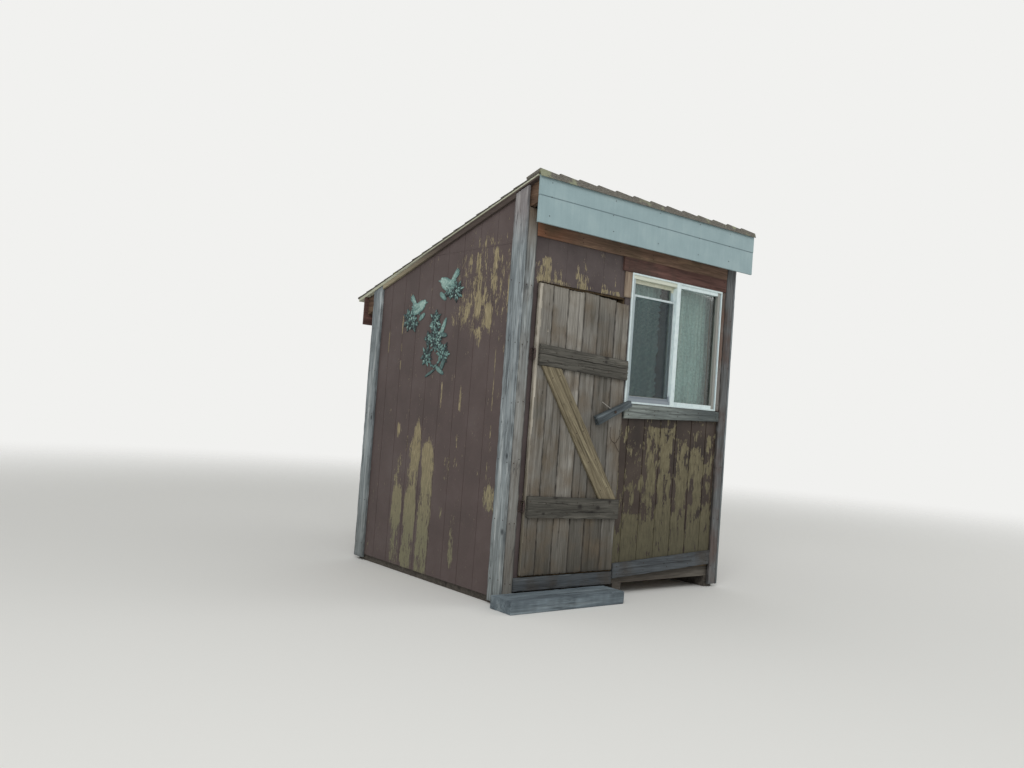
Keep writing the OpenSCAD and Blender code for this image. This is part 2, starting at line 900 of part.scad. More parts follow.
// A tapered stick, thicker at the hinge side.
module turn_button() {
  l = button_l / 2;
  color([0.40, 0.40, 0.42])
    placed()
      translate([door_x + button_x, button_back, door_z + button_z])
        rotate([90, 0, 0])
          rotate([0, 0, button_tilt])
            difference() {
              linear_extrude(height = button_t)
                polygon([
                  [-l, -button_w / 2 + 6],
                  [-l + 8, -button_w / 2],
                  [l - 6, -button_tip_w / 2],
                  [l, -button_tip_w / 2 + 5],
                  [l, button_tip_w / 2 - 4],
                  [l - 5, button_tip_w / 2],
                  [-l + 6, button_w / 2],
                  [-l, button_w / 2 - 8]
                ]);
              translate([0, 0, -1])
                cylinder(h = button_t + 2, r = screw_r + 0.1, $fn = 48);
            }
}

// A big bent nail standing on the upper edge of the turn button.
module button_nail() {
  foot_x = -20;
  lean = 131;
  nail_r = 4;
  edge_z = (button_w + button_tip_w) / 4 - (foot_x - nail_r) * (button_w - button_tip_w) / 2 / button_l;
  color([0.55, 0.50, 0.46])
    placed()
      translate([door_x + button_x, button_back - button_t / 2, door_z + button_z])
        rotate([90, 0, 0])
          rotate([0, 0, button_tilt])
            translate([foot_x, edge_z + nail_r * sin(lean - 90) + seat, 0])
              rotate([0, 0, lean])
                rotate([0, 90, 0])
                  cylinder(h = 100, r = nail_r, $fn = 32);
}

// A straight stretch of flat wire between two points.
module strand(a, b, w) {
  translate(a)
    rotate([0, 0, atan2(b[1] - a[1], b[0] - a[0])])
      translate([-w / 2, -w / 2])
        square([norm(b - a) + w, w]);
}

// A thin bent wire hanging on the door below the turn button, measured from the free edge.
module wire_pull() {
  left = [[-118, 1062], [-115, 990], [-82, 950], [-64, 948]];
  right = [[-20, 1046], [-12, 1002], [-48, 952], [-64, 948], [-14, 882]];
  color([0.15, 0.14, 0.13])
    placed()
      translate([door_x + door_w, door_face, door_z])
        rotate([90, 0, 0])
          linear_extrude(height = 3)
            for (p = [left, right])
              for (i = [1 : len(p) - 1])
                strand(p[i - 1], p[i], 4);
}

// A pointed leaf from two arcs, lying flat along X.
module leaf(l, w) {
  r = (l * l / 4 + w * w / 4) / w;
  intersection() {
    translate([0, r - w / 2])
      circle(r = r, $fn = 96);
    translate([0, w / 2 - r])
      circle(r = r, $fn = 96);
  }
}

// Flat plaques lie against the left wall; y is measured from the front corner.
module on_left_wall(y, z) {
  translate([0, y, z])
    rotate([90, 0, -90])
      linear_extrude(height = plaque_t)
        children();
}

// A rosette of pointed leaves.
module rosette(n, l, w, turn = 0) {
  for (i = [0 : n - 1])
    rotate(turn + i * 360 / n)
      translate([l * 0.42, 0])
        leaf(l, w);
}

// A small bird with a cocked tail, looking left, over a twig with one leaf.
module bird() {
  rotate(-24)
    leaf(208, 104);
  translate([-84, 36])
    circle(r = 27, $fn = 64);
  polygon([[-104, 26], [-134, 38], [-104, 46]]);
  polygon([[34, 2], [128, 44], [146, 98], [114, 104], [14, 44]]);
  translate([70, 6])
    rotate(6)
      leaf(130, 34);
  translate([-20, -58])
    rotate(32)
      leaf(120, 16);
  translate([-60, -84])
    rotate(-32)
      leaf(112, 50);
}

module bird_upper() {
  on_left_wall(890, 2247) {
    bird();
    translate([118, -54])
      rosette(7, 96, 40, 12);
    translate([30, -52])
      rosette(5, 70, 30);
  }
}

module bird_lower() {
  on_left_wall(1282, 2092) {
    mirror([1, 0])
      scale(0.92)
        bird();
    translate([-112, -86])
      rosette(7, 100, 42, 20);
    translate([-48, -118])
      rosette(5, 74, 34, 40);
  }
}

// A hanging vine with a loop in its lower half and two curled tails.
module vine() {
  on_left_wall(984, 1800) {
    translate([-46, 182])
      rosette(6, 92, 40, 90);
    translate([-40, 110])
      rosette(5, 84, 36, 20);
    translate([70, 130])
      rotate(64)
        leaf(150, 48);
    translate([76, 66])
      rotate(-8)
        leaf(112, 44);
    translate([-116, 40])
      rosette(5, 78, 36, 40);
    translate([-10, 30])
      rosette(7, 100, 46, 5);
    translate([-58, 44])
      rotate(8)
        leaf(120, 24);
    translate([-22, -104])
      difference() {
        circle(r = 84, $fn = 96);
        translate([-4, 4])
          scale([0.62, 1])
            circle(r = 52, $fn = 96);
      }
    translate([-132, -96])
      rosette(7, 92, 38, 30);
    translate([92, -72])
      rosette(6, 100, 42);
    translate([98, -150])
      rotate(62)
        leaf(150, 52);
    translate([-66, -226])
      rotate(24)
        leaf(160, 26);
    translate([60, -206])
      rotate(-26)
        leaf(130, 42);
  }
}

// Two birds among leaves and a hanging vine, in thin green metal.
module wall_plaques() {
  color([0.43, 0.58, 0.54])
    placed() {
      bird_upper();
      bird_lower();
      vine();
    }
}

skids();
floor_joists();
floor_deck();
base_boards();
door_step();
wall_posts();
wall_rails();
siding_left();
siding_right();
siding_back();
siding_jamb();
siding_head();
siding_beside_window();
siding_under_window();
corner_boards_front();
corner_boards_back();
frieze_boards();
header_board();
window_casings();
sill_board();
window_frame();
sash_left();
window_glass();
screen_frame();
screen_mesh();
curtain_rod();
curtain_left();
curtain_right();
rafters();
roof_deck();
shingles();
cap_row();
fascia_front();
fascia_back();
rake_laths();
door_boards();
door_ledges();
door_brace();
hinge_pins();
hinge_leaves();
button_screw();
turn_button();
button_nail();
wire_pull();
wall_plaques();
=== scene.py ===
import math
import random
from functools import partial

import bmesh
import bpy
from mathutils import Matrix, Vector, noise


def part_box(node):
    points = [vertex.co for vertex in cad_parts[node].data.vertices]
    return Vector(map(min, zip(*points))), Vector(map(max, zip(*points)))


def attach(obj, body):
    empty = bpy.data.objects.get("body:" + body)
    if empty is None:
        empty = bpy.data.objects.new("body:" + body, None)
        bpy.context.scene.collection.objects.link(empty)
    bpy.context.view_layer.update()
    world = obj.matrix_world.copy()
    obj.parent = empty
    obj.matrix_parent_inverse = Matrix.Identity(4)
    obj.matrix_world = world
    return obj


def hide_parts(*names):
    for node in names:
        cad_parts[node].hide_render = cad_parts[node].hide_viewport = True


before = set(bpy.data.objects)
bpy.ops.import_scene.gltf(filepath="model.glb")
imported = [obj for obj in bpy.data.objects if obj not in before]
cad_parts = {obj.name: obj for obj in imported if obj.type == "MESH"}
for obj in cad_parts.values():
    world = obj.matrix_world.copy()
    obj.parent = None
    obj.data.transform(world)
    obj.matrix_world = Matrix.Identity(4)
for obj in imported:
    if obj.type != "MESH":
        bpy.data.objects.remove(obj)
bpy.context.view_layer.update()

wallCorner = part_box("siding_left")[0]      # the front left corner of the siding


def place(x, y, z):
    # millimetres right and back from the front left corner, and up from the ground
    return Vector((wallCorner.x + x / 1000, wallCorner.y + y / 1000, z / 1000))


# the front wall's height, the roof's fall, and how far deck and rafters lie under the roof's top
house = {"front": 2910, "slope": 0.308, "underDeck": 36.2, "underRafter": 182.7}


def roofUnder(y, below):
    return house["front"] - house["slope"] * y - below


def clearSelection():
    bpy.ops.object.select_all(action="DESELECT")


# Camera, at the height of a standing person and a little tilted
cameraSettings = {
    "location": (-4.9635, -5.7680, 1.2985),
    "yaw": 38.642,
    "pitch": 1.947,
    "roll": 4.175,
    "focal": 900 / 1024,      # share of the picture's width
    "sensor": 36,
}


def buildCamera(settings):
    yaw, pitch, roll = (math.radians(settings[key]) for key in ("yaw", "pitch", "roll"))
    ahead = Vector((math.sin(yaw) * math.cos(pitch), math.cos(yaw) * math.cos(pitch), math.sin(pitch)))
    level = Vector((math.cos(yaw), -math.sin(yaw), 0))
    upright = level.cross(ahead)
    side = level * math.cos(roll) + upright * math.sin(roll)
    top = upright * math.cos(roll) - level * math.sin(roll)
    bpy.ops.object.camera_add()
    camera = bpy.context.object
    camera.name = "camera"
    turn = Matrix((side, top, -ahead)).transposed().to_4x4()
    camera.matrix_world = Matrix.Translation(settings["location"]) @ turn
    camera.data.sensor_width = settings["sensor"]
    camera.data.lens = settings["focal"] * settings["sensor"]
    bpy.context.scene.camera = camera


print("camera")
buildCamera(cameraSettings)


def toLinear(text):
    # an sRGB hex colour as linear red, green, blue and alpha
    parts = [int(text[i:i + 2], 16) / 255 for i in (0, 2, 4)]
    return (*[p / 12.92 if p <= 0.04045 else ((p + 0.055) / 1.055) ** 2.4 for p in parts], 1)


def setSocket(tree, socket, value):
    # a value is a number, a vector, a hex colour, or the output of another node
    if isinstance(value, bpy.types.NodeSocket):
        tree.links.new(value, socket)
    else:
        socket.default_value = toLinear(value) if isinstance(value, str) else value


def addNode(tree, kind, values=(), out=0, ramp=(), **settings):
    # values fill the inputs in turn, or by name; ramp holds colour stops; it gives one of the outputs back
    new = tree.nodes.new("ShaderNode" + kind)
    for name, value in settings.items():
        setattr(new, name, value)
    for name, value in dict(values if isinstance(values, dict) else enumerate(values)).items():
        setSocket(tree, new.inputs[name], value)
    while ramp and len(new.color_ramp.elements) < len(ramp):
        new.color_ramp.elements.new(0.5)
    for stop, (at, text) in zip(new.color_ramp.elements if ramp else (), ramp):
        stop.position = at
        stop.color = toLinear(text)
    return new.outputs[out]


def startTree(name):
    material = bpy.data.materials.new(name)
    material.use_nodes = True
    add = partial(addNode, material.node_tree)
    return add, add("TexCoord", out="Object")


def newMaterial(name, colour, roughness, height=None, bump=0, **sockets):
    # the shader with its colour and height links, in a material that has been started
    material = bpy.data.materials[name]
    tree = material.node_tree
    if height is not None:
        relief = {"Height": height, "Strength": 1, "Distance": bump / 1000}
        sockets["Normal"] = addNode(tree, "Bump", relief)
    for socket, value in {"Base Color": colour, "Roughness": roughness, **sockets}.items():
        setSocket(tree, tree.nodes["Principled BSDF"].inputs[socket], value)
    return material


def grainNoise(add, where, axis, across, along, detail, roughness=0.5, distortion=0):
    # noise drawn out along one axis, with its size across and along in millimetres
    scale = tuple(1000 / (along if name == axis else across) for name in "xyz")
    drawn = add("Mapping", {"Vector": where, "Scale": scale})
    return add("TexNoise", {
        "Vector": drawn, "Scale": 1, "Detail": detail, "Roughness": roughness, "Distortion": distortion,
    })


def sumOf(add, *pairs):
    # patterns added up, each with its weight
    total = 0.0
    for pattern, weight in pairs:
        total = add("Math", [pattern, weight, total], operation="MULTIPLY_ADD")
    return total


def layersOver(add, colour, *layers):
    # each layer is its cover and the colour that it brings
    for cover, tint in layers:
        colour = add("Mix", {0: cover, 6: colour, 7: tint}, out=2, data_type="RGBA")
    return colour


def lineAt(add, value, middle, inner, outer, strength):
    # a thin line where the value passes its middle
    away = add("Math", [value, middle], operation="SUBTRACT")
    away = add("Math", [away], operation="ABSOLUTE")
    return add("MapRange", [away, inner, outer, strength, 0])


# each wood's colours are its furrows, its body, its ridges and its cracks
plainWood = {
    "grain": 5, "low": 0.72, "toned": 0.3, "banded": 0.22, "splits": 0.5, "stained": 0.6, "tints": (),
}


def weatheredWood(name, settings):
    # dry sawn softwood that stood in sun and rain: grey ridges, dark furrows, streaks along the grain
    settings = {**plainWood, **settings}
    axis, grain, banded = (settings[key] for key in ("axis", "grain", "banded"))
    deep, middle, pale, crack = settings["colours"]
    add, where = startTree(name)
    spot = add("SeparateXYZ", [where]).node.outputs
    if "turn" in settings:
        where = add("Mapping", {"Vector": where, "Rotation": (0, math.radians(settings["turn"]), 0)})
    tone = add("Attribute", out="Fac", attribute_name="tone")
    shifted = add("VectorMath", [tone.node.outputs["Vector"], (3.1, 1.7, 5.3)], operation="MULTIPLY")
    where = add("VectorMath", [where, shifted], operation="ADD")
    furrows = grainNoise(add, where, axis, grain, grain * 30, 5, 0.62, 0.35)
    streaks = grainNoise(add, where, axis, grain * 9, grain * 120, 4, 0.55, 0.6)
    bands = grainNoise(add, where, axis, grain * 2.8, grain * 50, 3, 0.6, 0.5)
    patches = add("TexNoise", {"Vector": where, "Scale": 4.5, "Detail": 3})
    splits = grainNoise(add, where, axis, 16, 420, 2, 0.5, 0.9)
    lines = lineAt(add, splits, 0.5, 0, 0.022, 1)
    gate = add("MapRange", [patches, 0.5, 0.6, 0, settings["splits"]])
    lines = add("Math", [lines, gate], operation="MULTIPLY")
    colour = add("ValToRGB", [streaks], ramp=[(0.30, deep), (0.46, middle), (0.56, middle), (0.72, pale)])
    shade = add("Math", [tone, settings["toned"], 1.0], operation="MULTIPLY_ADD")
    ridge = add("MapRange", [furrows, 0.3, 0.7, settings["low"], 1.22])
    band = add("MapRange", [bands, 0.3, 0.7, 1 - banded, 1 + banded])
    for share in (ridge, band):
        shade = add("Math", [share, shade], operation="MULTIPLY")
    colour = add("VectorMath", {0: colour, "Scale": shade}, operation="SCALE")
    for way, start, end, tint, strength in settings["tints"]:
        # a slow blend towards the tint along one way, in wall millimetres: darker, paler or redder towards
        # one end of the board
        ends = [getattr(place(at, at, at), way.lower()) for at in (start, end)]
        reach = add("MapRange", [spot[way], *ends, 0, strength])
        colour = layersOver(add, colour, (reach, tint))
    if "stain" in settings:
        blot = add("MapRange", [patches, 0.46, 0.68, 0, settings["stained"]])
        colour = layersOver(add, colour, (blot, settings["stain"]))
    dark = [lines]
    if "knots" in settings:
        size = settings["knots"]
        scale = tuple(1000 / (size * 1.6 if name == axis else size) for name in "xyz")
        wide = add("Mapping", {"Vector": where, "Scale": scale})
        cells = add("TexVoronoi", {"Vector": wide, "Scale": 1, "Randomness": 1})
        dark.append(add("MapRange", [cells, 0.05, 0.12, 0.8, 0]))
    # painted shade in the cracks and along the boards' long edges, with the dark of knots and torn ends, from
    # the shaped boards
    dark.append(add("Attribute", out="Fac", attribute_name="soot"))
    colour = layersOver(add, colour, *((cover, crack) for cover in dark))
    height = add("Math", [furrows, lines], operation="SUBTRACT")
    newMaterial(name, colour, 0.9, height, 1.6, **{"Specular IOR Level": 0.25})


def addPatches(add, where, patches, wall):
    # each patch is across, up, half width, half height, strength: a soft block of lift on one wall
    through = 1000      # so far in metres that the depth in the wall doesn't count
    total = 0.0
    for across, up, wide, high, strength in patches:
        if wall == "side":
            spot, size = place(0, across, up), (through, wide / 1000, high / 1000)
        else:
            spot, size = place(across, 0, up), (wide / 1000, through, high / 1000)
        near = {"Vector": where, "Location": spot, "Scale": size}
        near = add("Mapping", near, vector_type="TEXTURE")
        square = add("VectorMath", [near, near], operation="MULTIPLY")
        reach = add("VectorMath", [square, square], out="Value", operation="DOT_PRODUCT")
        lift = add("MapRange", [reach, 0.1, 1.8, strength, 0], interpolation_type="SMOOTHSTEP")
        total = add("Math", [total, lift], operation="ADD")
    return total


def peelingPaint(name, settings):
    # brown house paint on grooved plywood: it lets go in slivers along the grain and leaves dry tan wood
    add, where = startTree(name)
    size, edge = settings["sliver"], settings["hold"]
    slivers = grainNoise(add, where, "z", size, size * settings["long"], 8, settings["torn"], 0.3)
    flecks = grainNoise(add, where, "z", 9, 34, 4, 0.6)
    chips = grainNoise(add, where, "z", 60, 170, 3)
    grain = grainNoise(add, where, "z", 3, 110, 5, 0.6)
    worn = sumOf(add, *zip((slivers, chips, flecks), settings["gains"]))
    lift = addPatches(add, where, settings["patches"], settings["wall"])
    worn = add("Math", [worn, lift], operation="ADD")
    bare = add("MapRange", [worn, edge, edge + 0.03])
    rim = add("MapRange", [worn, edge - 0.08, edge])
    cloud = add("TexNoise", {"Vector": where, "Scale": 3.2, "Detail": 5, "Roughness": 0.6})
    paint = add("ValToRGB", [cloud], ramp=[
        (0.36, settings["paintDark"]), (0.5, settings["paint"]), (0.68, settings["paintPale"]),
    ])
    both = sumOf(add, (grain, 0.55), (slivers, 0.45))
    wood = add("ValToRGB", [both], ramp=[
        (0.38, settings["woodDark"]), (0.5, settings["wood"]), (0.62, settings["woodPale"]),
    ])
    grime = add("MapRange", [flecks, 0.56, 0.68, 0, settings["grime"]])
    spot = add("SeparateXYZ", [where]).node.outputs
    damp = [settings[key] for key in ("greyFrom", "greyTo", "greyed")]
    damp = add("MapRange", [spot["Z"], *damp, 0])
    wood = layersOver(add, wood, (grime, settings["paint"]), (damp, settings["woodGrey"]))
    # the face inside the house was never painted: plain plywood, browned with age
    way, at, sense = settings["inner"]
    inside = add("Math", [spot[way], getattr(place(at, at, 0), way.lower())], operation=sense)
    plain = add("ValToRGB", [both], ramp=[(0.38, "5B4D3B"), (0.5, "756449"), (0.62, "8C7A5E")])
    colour = layersOver(add, paint, (rim, settings["rim"]), (bare, wood), (inside, plain))
    step = sumOf(add, (grain, 0.35), (bare, -1))
    rough = add("MapRange", [bare, 0, 1, 0.62, 0.92])
    newMaterial(name, colour, rough, step, 1.0, **{"Specular IOR Level": 0.3})


brownPaint = {
    "paint": "564A48", "paintDark": "504543", "paintPale": "5D5250", "rim": "5F5350",
    "wood": "92876B", "woodDark": "6A614C", "woodPale": "B8AA8A", "woodGrey": "75745F",
    "hold": 3.78, "sliver": 10, "long": 6, "torn": 0.72, "gains": (3.2, 1.8, 1.3), "grime": 0.5,
    "greyFrom": 0.3, "greyTo": 1.1, "greyed": 0.8, "wall": "front", "inner": ("Y", 11, "GREATER_THAN"),
}
leftPatches = [
    (1000, 500, 95, 540, 0.85), (1003, 850, 60, 190, 0.60),
    (1165, 1000, 62, 180, 0.72), (1190, 700, 82, 380, 0.62), (1205, 330, 90, 330, 0.85),
    (1400, 640, 72, 280, 0.46), (1395, 330, 75, 330, 0.70),
    (1445, 1108, 22, 62, 0.7), (1308, 1005, 13, 80, 0.6),
    (735, 865, 40, 100, 0.46), (632, 900, 24, 66, 0.42), (636, 1058, 12, 66, 0.45),
    (630, 1390, 14, 100, 0.72), (876, 1400, 10, 100, 0.72),
    (779, 533, 26, 48, 0.5), (610, 360, 34, 200, 0.6),
    (185, 705, 88, 88, 0.66), (205, 800, 20, 60, 0.45), (247, 900, 5, 70, 0.6),
    (240, 1540, 5, 230, 0.85), (235, 1170, 6, 48, 0.7),
    (490, 2130, 30, 170, 0.60), (521, 2380, 30, 80, 0.46), (480, 1830, 44, 80, 0.60),
    (352, 1995, 40, 90, 0.50), (616, 2418, 18, 42, 0.46), (312, 2310, 26, 170, 0.40),
    (137, 2120, 24, 185, 0.46), (420, 2180, 330, 340, 0.45), (730, 2010, 110, 80, 0.30),
    (400, 2540, 260, 40, 0.30),
    (1505, 1967, 7, 90, 0.62), (1500, 1777, 6, 38, 0.75), (1496, 1633, 7, 40, 0.7), (1700, 1850, 5, 120, 0.7),
]
overDoorPatches = [
    (206, 2330, 46, 92, 0.85), (125, 2298, 42, 74, 0.54), (320, 2330, 36, 80, 0.52),
    (556, 2288, 66, 60, 0.60), (500, 2360, 16, 60, 0.46), (580, 2390, 14, 50, 0.42),
    (782, 2270, 44, 36, 0.58), (895, 2350, 16, 50, 0.5), (917, 2262, 24, 30, 0.52),
    (560, 2244, 470, 26, 0.34),
]
underWindowPatches = [
    (1600, 600, 1400, 1700, 0.84), (1600, 1440, 800, 60, -0.8), (1600, 1345, 800, 62, -0.55),
    (1185, 1110, 160, 280, -0.60), (1225, 700, 100, 95, -0.52), (1090, 600, 30, 420, -0.34),
    (1400, 1150, 40, 160, -0.20), (1491, 950, 24, 270, -0.38), (1676, 960, 34, 250, -0.52),
    (1690, 735, 40, 120, -0.42), (1680, 440, 14, 200, -0.40), (1745, 1255, 84, 52, -0.48),
    (1858, 1120, 16, 260, -0.34), (1900, 1235, 110, 90, -0.48), (1888, 785, 46, 110, -0.52),
    (1862, 470, 14, 220, -0.44), (2042, 1130, 44, 130, -0.52), (2080, 800, 66, 120, -0.50),
    (2100, 1290, 90, 50, -0.50), (2180, 900, 34, 420, -0.36), (1308, 480, 16, 200, -0.34),
    (1700, 360, 700, 210, 0.26), (1420, 800, 60, 160, 0.16), (1590, 900, 60, 300, 0.14),
    (1770, 850, 56, 260, 0.14),
]
otherPatches = [
    (1500, 500, 95, 420, 0.62), (1250, 380, 80, 340, 0.56), (700, 700, 60, 260, 0.46),
    (400, 2100, 240, 220, 0.28), (1050, 1500, 12, 200, 0.5), (300, 420, 50, 260, 0.5),
]
backPatches = [
    (500, 480, 90, 420, 0.62), (1420, 420, 90, 360, 0.58), (1900, 700, 60, 300, 0.46),
    (1200, 1700, 300, 200, 0.28), (820, 1300, 12, 180, 0.5),
]

print("paint and wood")
peelingPaint("peelingPaintLeft", {
    **brownPaint, "wall": "side", "patches": leftPatches, "inner": ("X", 11, "GREATER_THAN"),
})
peelingPaint("peelingPaintRight", {
    **brownPaint, "wall": "side", "patches": otherPatches, "inner": ("X", 2257, "LESS_THAN"),
})
peelingPaint("peelingPaintBack", {**brownPaint, "patches": backPatches, "inner": ("Y", 1949, "LESS_THAN")})
peelingPaint("peelingPaintOverDoor", {
    **brownPaint, "patches": overDoorPatches, "paint": "504746", "paintDark": "473D3D",
    "paintPale": "5A504F", "wood": "8B8167", "woodPale": "AFA284", "greyed": 0,
})
peelingPaint("peelingPaintUnderWindow", {
    **brownPaint, "patches": underWindowPatches, "sliver": 22, "long": 3.4,
    "torn": 0.66, "gains": (2.6, 2.5, 1.2), "grime": 0.35,
    "paint": "3A302A", "paintDark": "2D2520", "paintPale": "473D36", "rim": "40362F",
    "wood": "716A53", "woodDark": "565041", "woodPale": "898268", "woodGrey": "474538",
    "greyFrom": 0.2, "greyTo": 1.15,
})
woods = {
    # the blue-grey is painted sky light, as on the board that faces the open sky at the left
    "blueGreyedCedar": {
        "colours": ("666D71", "8F979A", "C1C7C7", "33373B"), "axis": "z", "banded": 0.36, "knots": 150,
        "low": 0.62, "splits": 0.9,
        "tints": (("Z", 2450, 2700, "806C69", 0.5), ("Z", 1000, 150, "5E605A", 0.4)),
    },
    # the same cedar on the face turned to the front, with less painted sky light
    "tanGreyedCedar": {
        "colours": ("636766", "878D8E", "B4B8B4", "333536"), "axis": "z", "banded": 0.34,
        "stain": "6F655C", "stained": 0.3, "knots": 190, "low": 0.64, "splits": 0.8,
        "tints": (("Z", 2350, 2700, "78654F", 0.8), ("Z", 1900, 1300, "A0968A", 0.3),
                  ("Z", 1200, 200, "5C5850", 0.6)),
    },
    "brownedCedar": {
        "colours": ("4D4D4B", "67696A", "858886", "353230"), "axis": "z", "banded": 0.28,
        "stain": "5E4A42", "knots": 230, "low": 0.7, "splits": 0.6,
    },
    "doorPine": {
        "colours": ("5E5B54", "7B7872", "9B9993", "322E2A"), "axis": "z", "grain": 6, "banded": 0.16,
        "stain": "6C5F4E", "toned": 0.55, "low": 0.6,
        "tints": (("Z", 1450, 150, "3A362E", 0.6), ("Z", 620, 190, "35322A", 0.3),
                  ("Z", 2050, 2230, "A59F92", 0.25)),
    },
    "paleBoardEdge": {
        "colours": ("918B80", "ACA69A", "C3BDB1", "6C6558"), "axis": "z", "splits": 0.3,
        "tints": (("Z", 1400, 500, "5A554A", 0.85),),
    },
    "ledgePine": {
        "colours": ("3E3C37", "595751", "7F7C73", "2A2725"), "axis": "x", "banded": 0.3, "low": 0.62,
        "knots": 170, "splits": 0.9,
    },
    "bracePine": {
        "colours": ("5C5442", "7F7661", "A89F83", "40382B"), "axis": "z", "turn": 34.5, "banded": 0.35,
        "low": 0.6, "splits": 0.7,
    },
    # the button's blue-grey is painted sky light from its upper face, laid over all of it
    "buttonPine": {
        "colours": ("3F4649", "555D61", "7C868B", "26292B"), "axis": "x", "turn": 23.6, "banded": 0.3,
        "low": 0.66, "splits": 0.6,
    },
    "orangeStainedPine": {
        "colours": ("5E4B3E", "7D6555", "9A8068", "33251E"), "axis": "x", "banded": 0.26,
        "stain": "5E5443", "splits": 0.4,
        "tints": (("X", 520, 60, "935632", 0.5),),
    },
    "redStainedPine": {
        "colours": ("48322C", "604640", "785850", "2C1F1B"), "axis": "x", "banded": 0.3, "stain": "4B403A",
        "splits": 0.4,
    },
    "fadedCasing": {
        "colours": ("7F6E60", "9A8A79", "B4A592", "453830"), "axis": "z", "banded": 0.2, "stain": "86705F",
        "stained": 0.5, "splits": 0.4,
    },
    "redGreyedCasing": {
        "colours": ("564A44", "6F645D", "8C837B", "332A26"), "axis": "z", "banded": 0.28,
        "stain": "70503F", "stained": 0.55, "splits": 0.6,
        "tints": (("Z", 2300, 1700, "8F9190", 0.45),),
    },
    "sillPine": {
        "colours": ("6B7270", "8B938F", "B0B4AA", "3C3F3B"), "axis": "x", "banded": 0.3, "low": 0.66,
        "splits": 0.6,
        "tints": (("X", 1300, 1950, "3B4246", 0.72),),
    },
    "basePine": {
        "colours": ("3F4347", "555A5E", "71787C", "2A2A2A"), "axis": "x", "stain": "4B443D", "splits": 0.6,
    },
    # the step's blue-grey is painted sky light on its upper face
    "stepTimber": {
        "colours": ("5A646B", "737F86", "949FA4", "3A4045"), "axis": "x", "grain": 6, "low": 0.66,
        "splits": 0.8,
    },
    "framingPine": {
        "colours": ("5A4B39", "6F5E48", "86745B", "3A2F23"), "axis": "z", "splits": 0.3, "knots": 200,
    },
    "groundTimber": {
        "colours": ("3E3A36", "534E48", "6B665E", "25221F"), "axis": "x", "splits": 0.6,
    },
    "rafterPine": {
        "colours": ("4F4036", "665243", "7F6B57", "2F2620"), "axis": "y", "splits": 0.4,
    },
    "floorPlywood": {
        "colours": ("6E5B40", "876F4E", "9D8663", "44392A"), "axis": "x", "grain": 3, "stain": "4F4638",
        "splits": 0.3,
    },
}
for name, settings in woods.items():
    weatheredWood(name, settings)


def rakeEdge(name, settings):
    # sawn edges under the roof: pale along the top and over their whole depth towards the back, dark brown
    # below; on the deck's edge the dark brown band is painted shadow
    add, where = startTree(name)
    grain = grainNoise(add, where, "y", 4, 140, 5, 0.6)
    level = add("VectorMath", [where, (0, house["slope"], 1)], out="Value", operation="DOT_PRODUCT")
    top = place(0, 0, roofUnder(0, settings["below"]))
    edge = top.z + top.y * house["slope"]
    paleTop = add("MapRange", [level, edge - 0.003, edge + 0.001])
    far = add("SeparateXYZ", [where], out="Y")
    far = add("MapRange", [far, *(place(0, y, 0).y for y in settings["paleBeyond"])])
    pale = add("Math", [paleTop, far], operation="MAXIMUM")
    light = add("ValToRGB", [grain], ramp=[(0.35, settings["mid"]), (0.65, settings["light"])])
    # dark brown below the pale line: painted shadow on the deck's edge, the lath's own brown on the lath
    dark = add("ValToRGB", [grain], ramp=[(0.35, "3C3330"), (0.65, "53473F")])
    newMaterial(name, layersOver(add, dark, (pale, light)), 0.9, grain, 1.0)


def fasciaPaint(name):
    # pale blue-grey exterior paint on smooth boards: even and chalky, with faint runs of dirt
    add, where = startTree(name)
    runs = grainNoise(add, where, "z", 22, 300, 5, 0.55)
    both = sumOf(add, (runs, 0.5), (add("TexNoise", {"Vector": where, "Scale": 7, "Detail": 4}), 1))
    colour = add("ValToRGB", [both], ramp=[(0.45, "8BA2A6"), (0.75, "92A9AD"), (0.95, "99AFB2")])
    specks = add("TexVoronoi", {"Vector": where, "Scale": 38, "Randomness": 1})
    dirt = add("MapRange", [specks, 0.04, 0.09, 0.5, 0])
    # a painted shadow line where the upper board stands out over the lower one
    upperBoard = 0.141
    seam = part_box("fascia_front")[1].z - upperBoard
    line = lineAt(add, add("SeparateXYZ", [where], out="Z"), seam, 0.002, 0.006, 0.45)
    colour = layersOver(add, colour, (dirt, "6F7F82"), (line, "4E5F68"))
    newMaterial(name, colour, 0.6, runs, 0.4)


def vinyl(name, colours, dirt, agedAndShaded):
    # extruded PVC or painted aluminium: smooth, dull, dirt in a soft mottle, aged parts in their own colour,
    # recessed parts in painted shade
    add, where = startTree(name)
    cloud = add("TexNoise", {"Vector": where, "Scale": 26, "Detail": 5, "Roughness": 0.6})
    both = sumOf(add, (grainNoise(add, where, "z", 14, 160, 4, 0.6), 0.5), (cloud, 0.5))
    colour = add("ValToRGB", [both], ramp=[(0.34, dirt), (0.44, colours[0]), (0.62, colours[1])])
    for low, high, tint, strength in agedAndShaded:
        # a box in wall millimetres whose inside takes another colour: an aged colour in some boxes, painted
        # shade in others
        low, high = place(*low), place(*high)
        fit = {"Vector": where, "Location": (low + high) / 2, "Scale": (high - low) / 2}
        near = add("Mapping", fit, vector_type="TEXTURE")
        near = add("VectorMath", [near], operation="ABSOLUTE")
        near = add("SeparateXYZ", [near]).node.outputs
        far = add("Math", [near["X"], near["Y"]], operation="MAXIMUM")
        far = add("Math", [far, near["Z"]], operation="MAXIMUM")
        inside = add("Math", [far, 1.0], operation="LESS_THAN")
        inside = add("Math", [inside, strength], operation="MULTIPLY")
        colour = layersOver(add, colour, (inside, tint))
    newMaterial(name, colour, 0.42, cloud, 0.15, IOR=1.53)


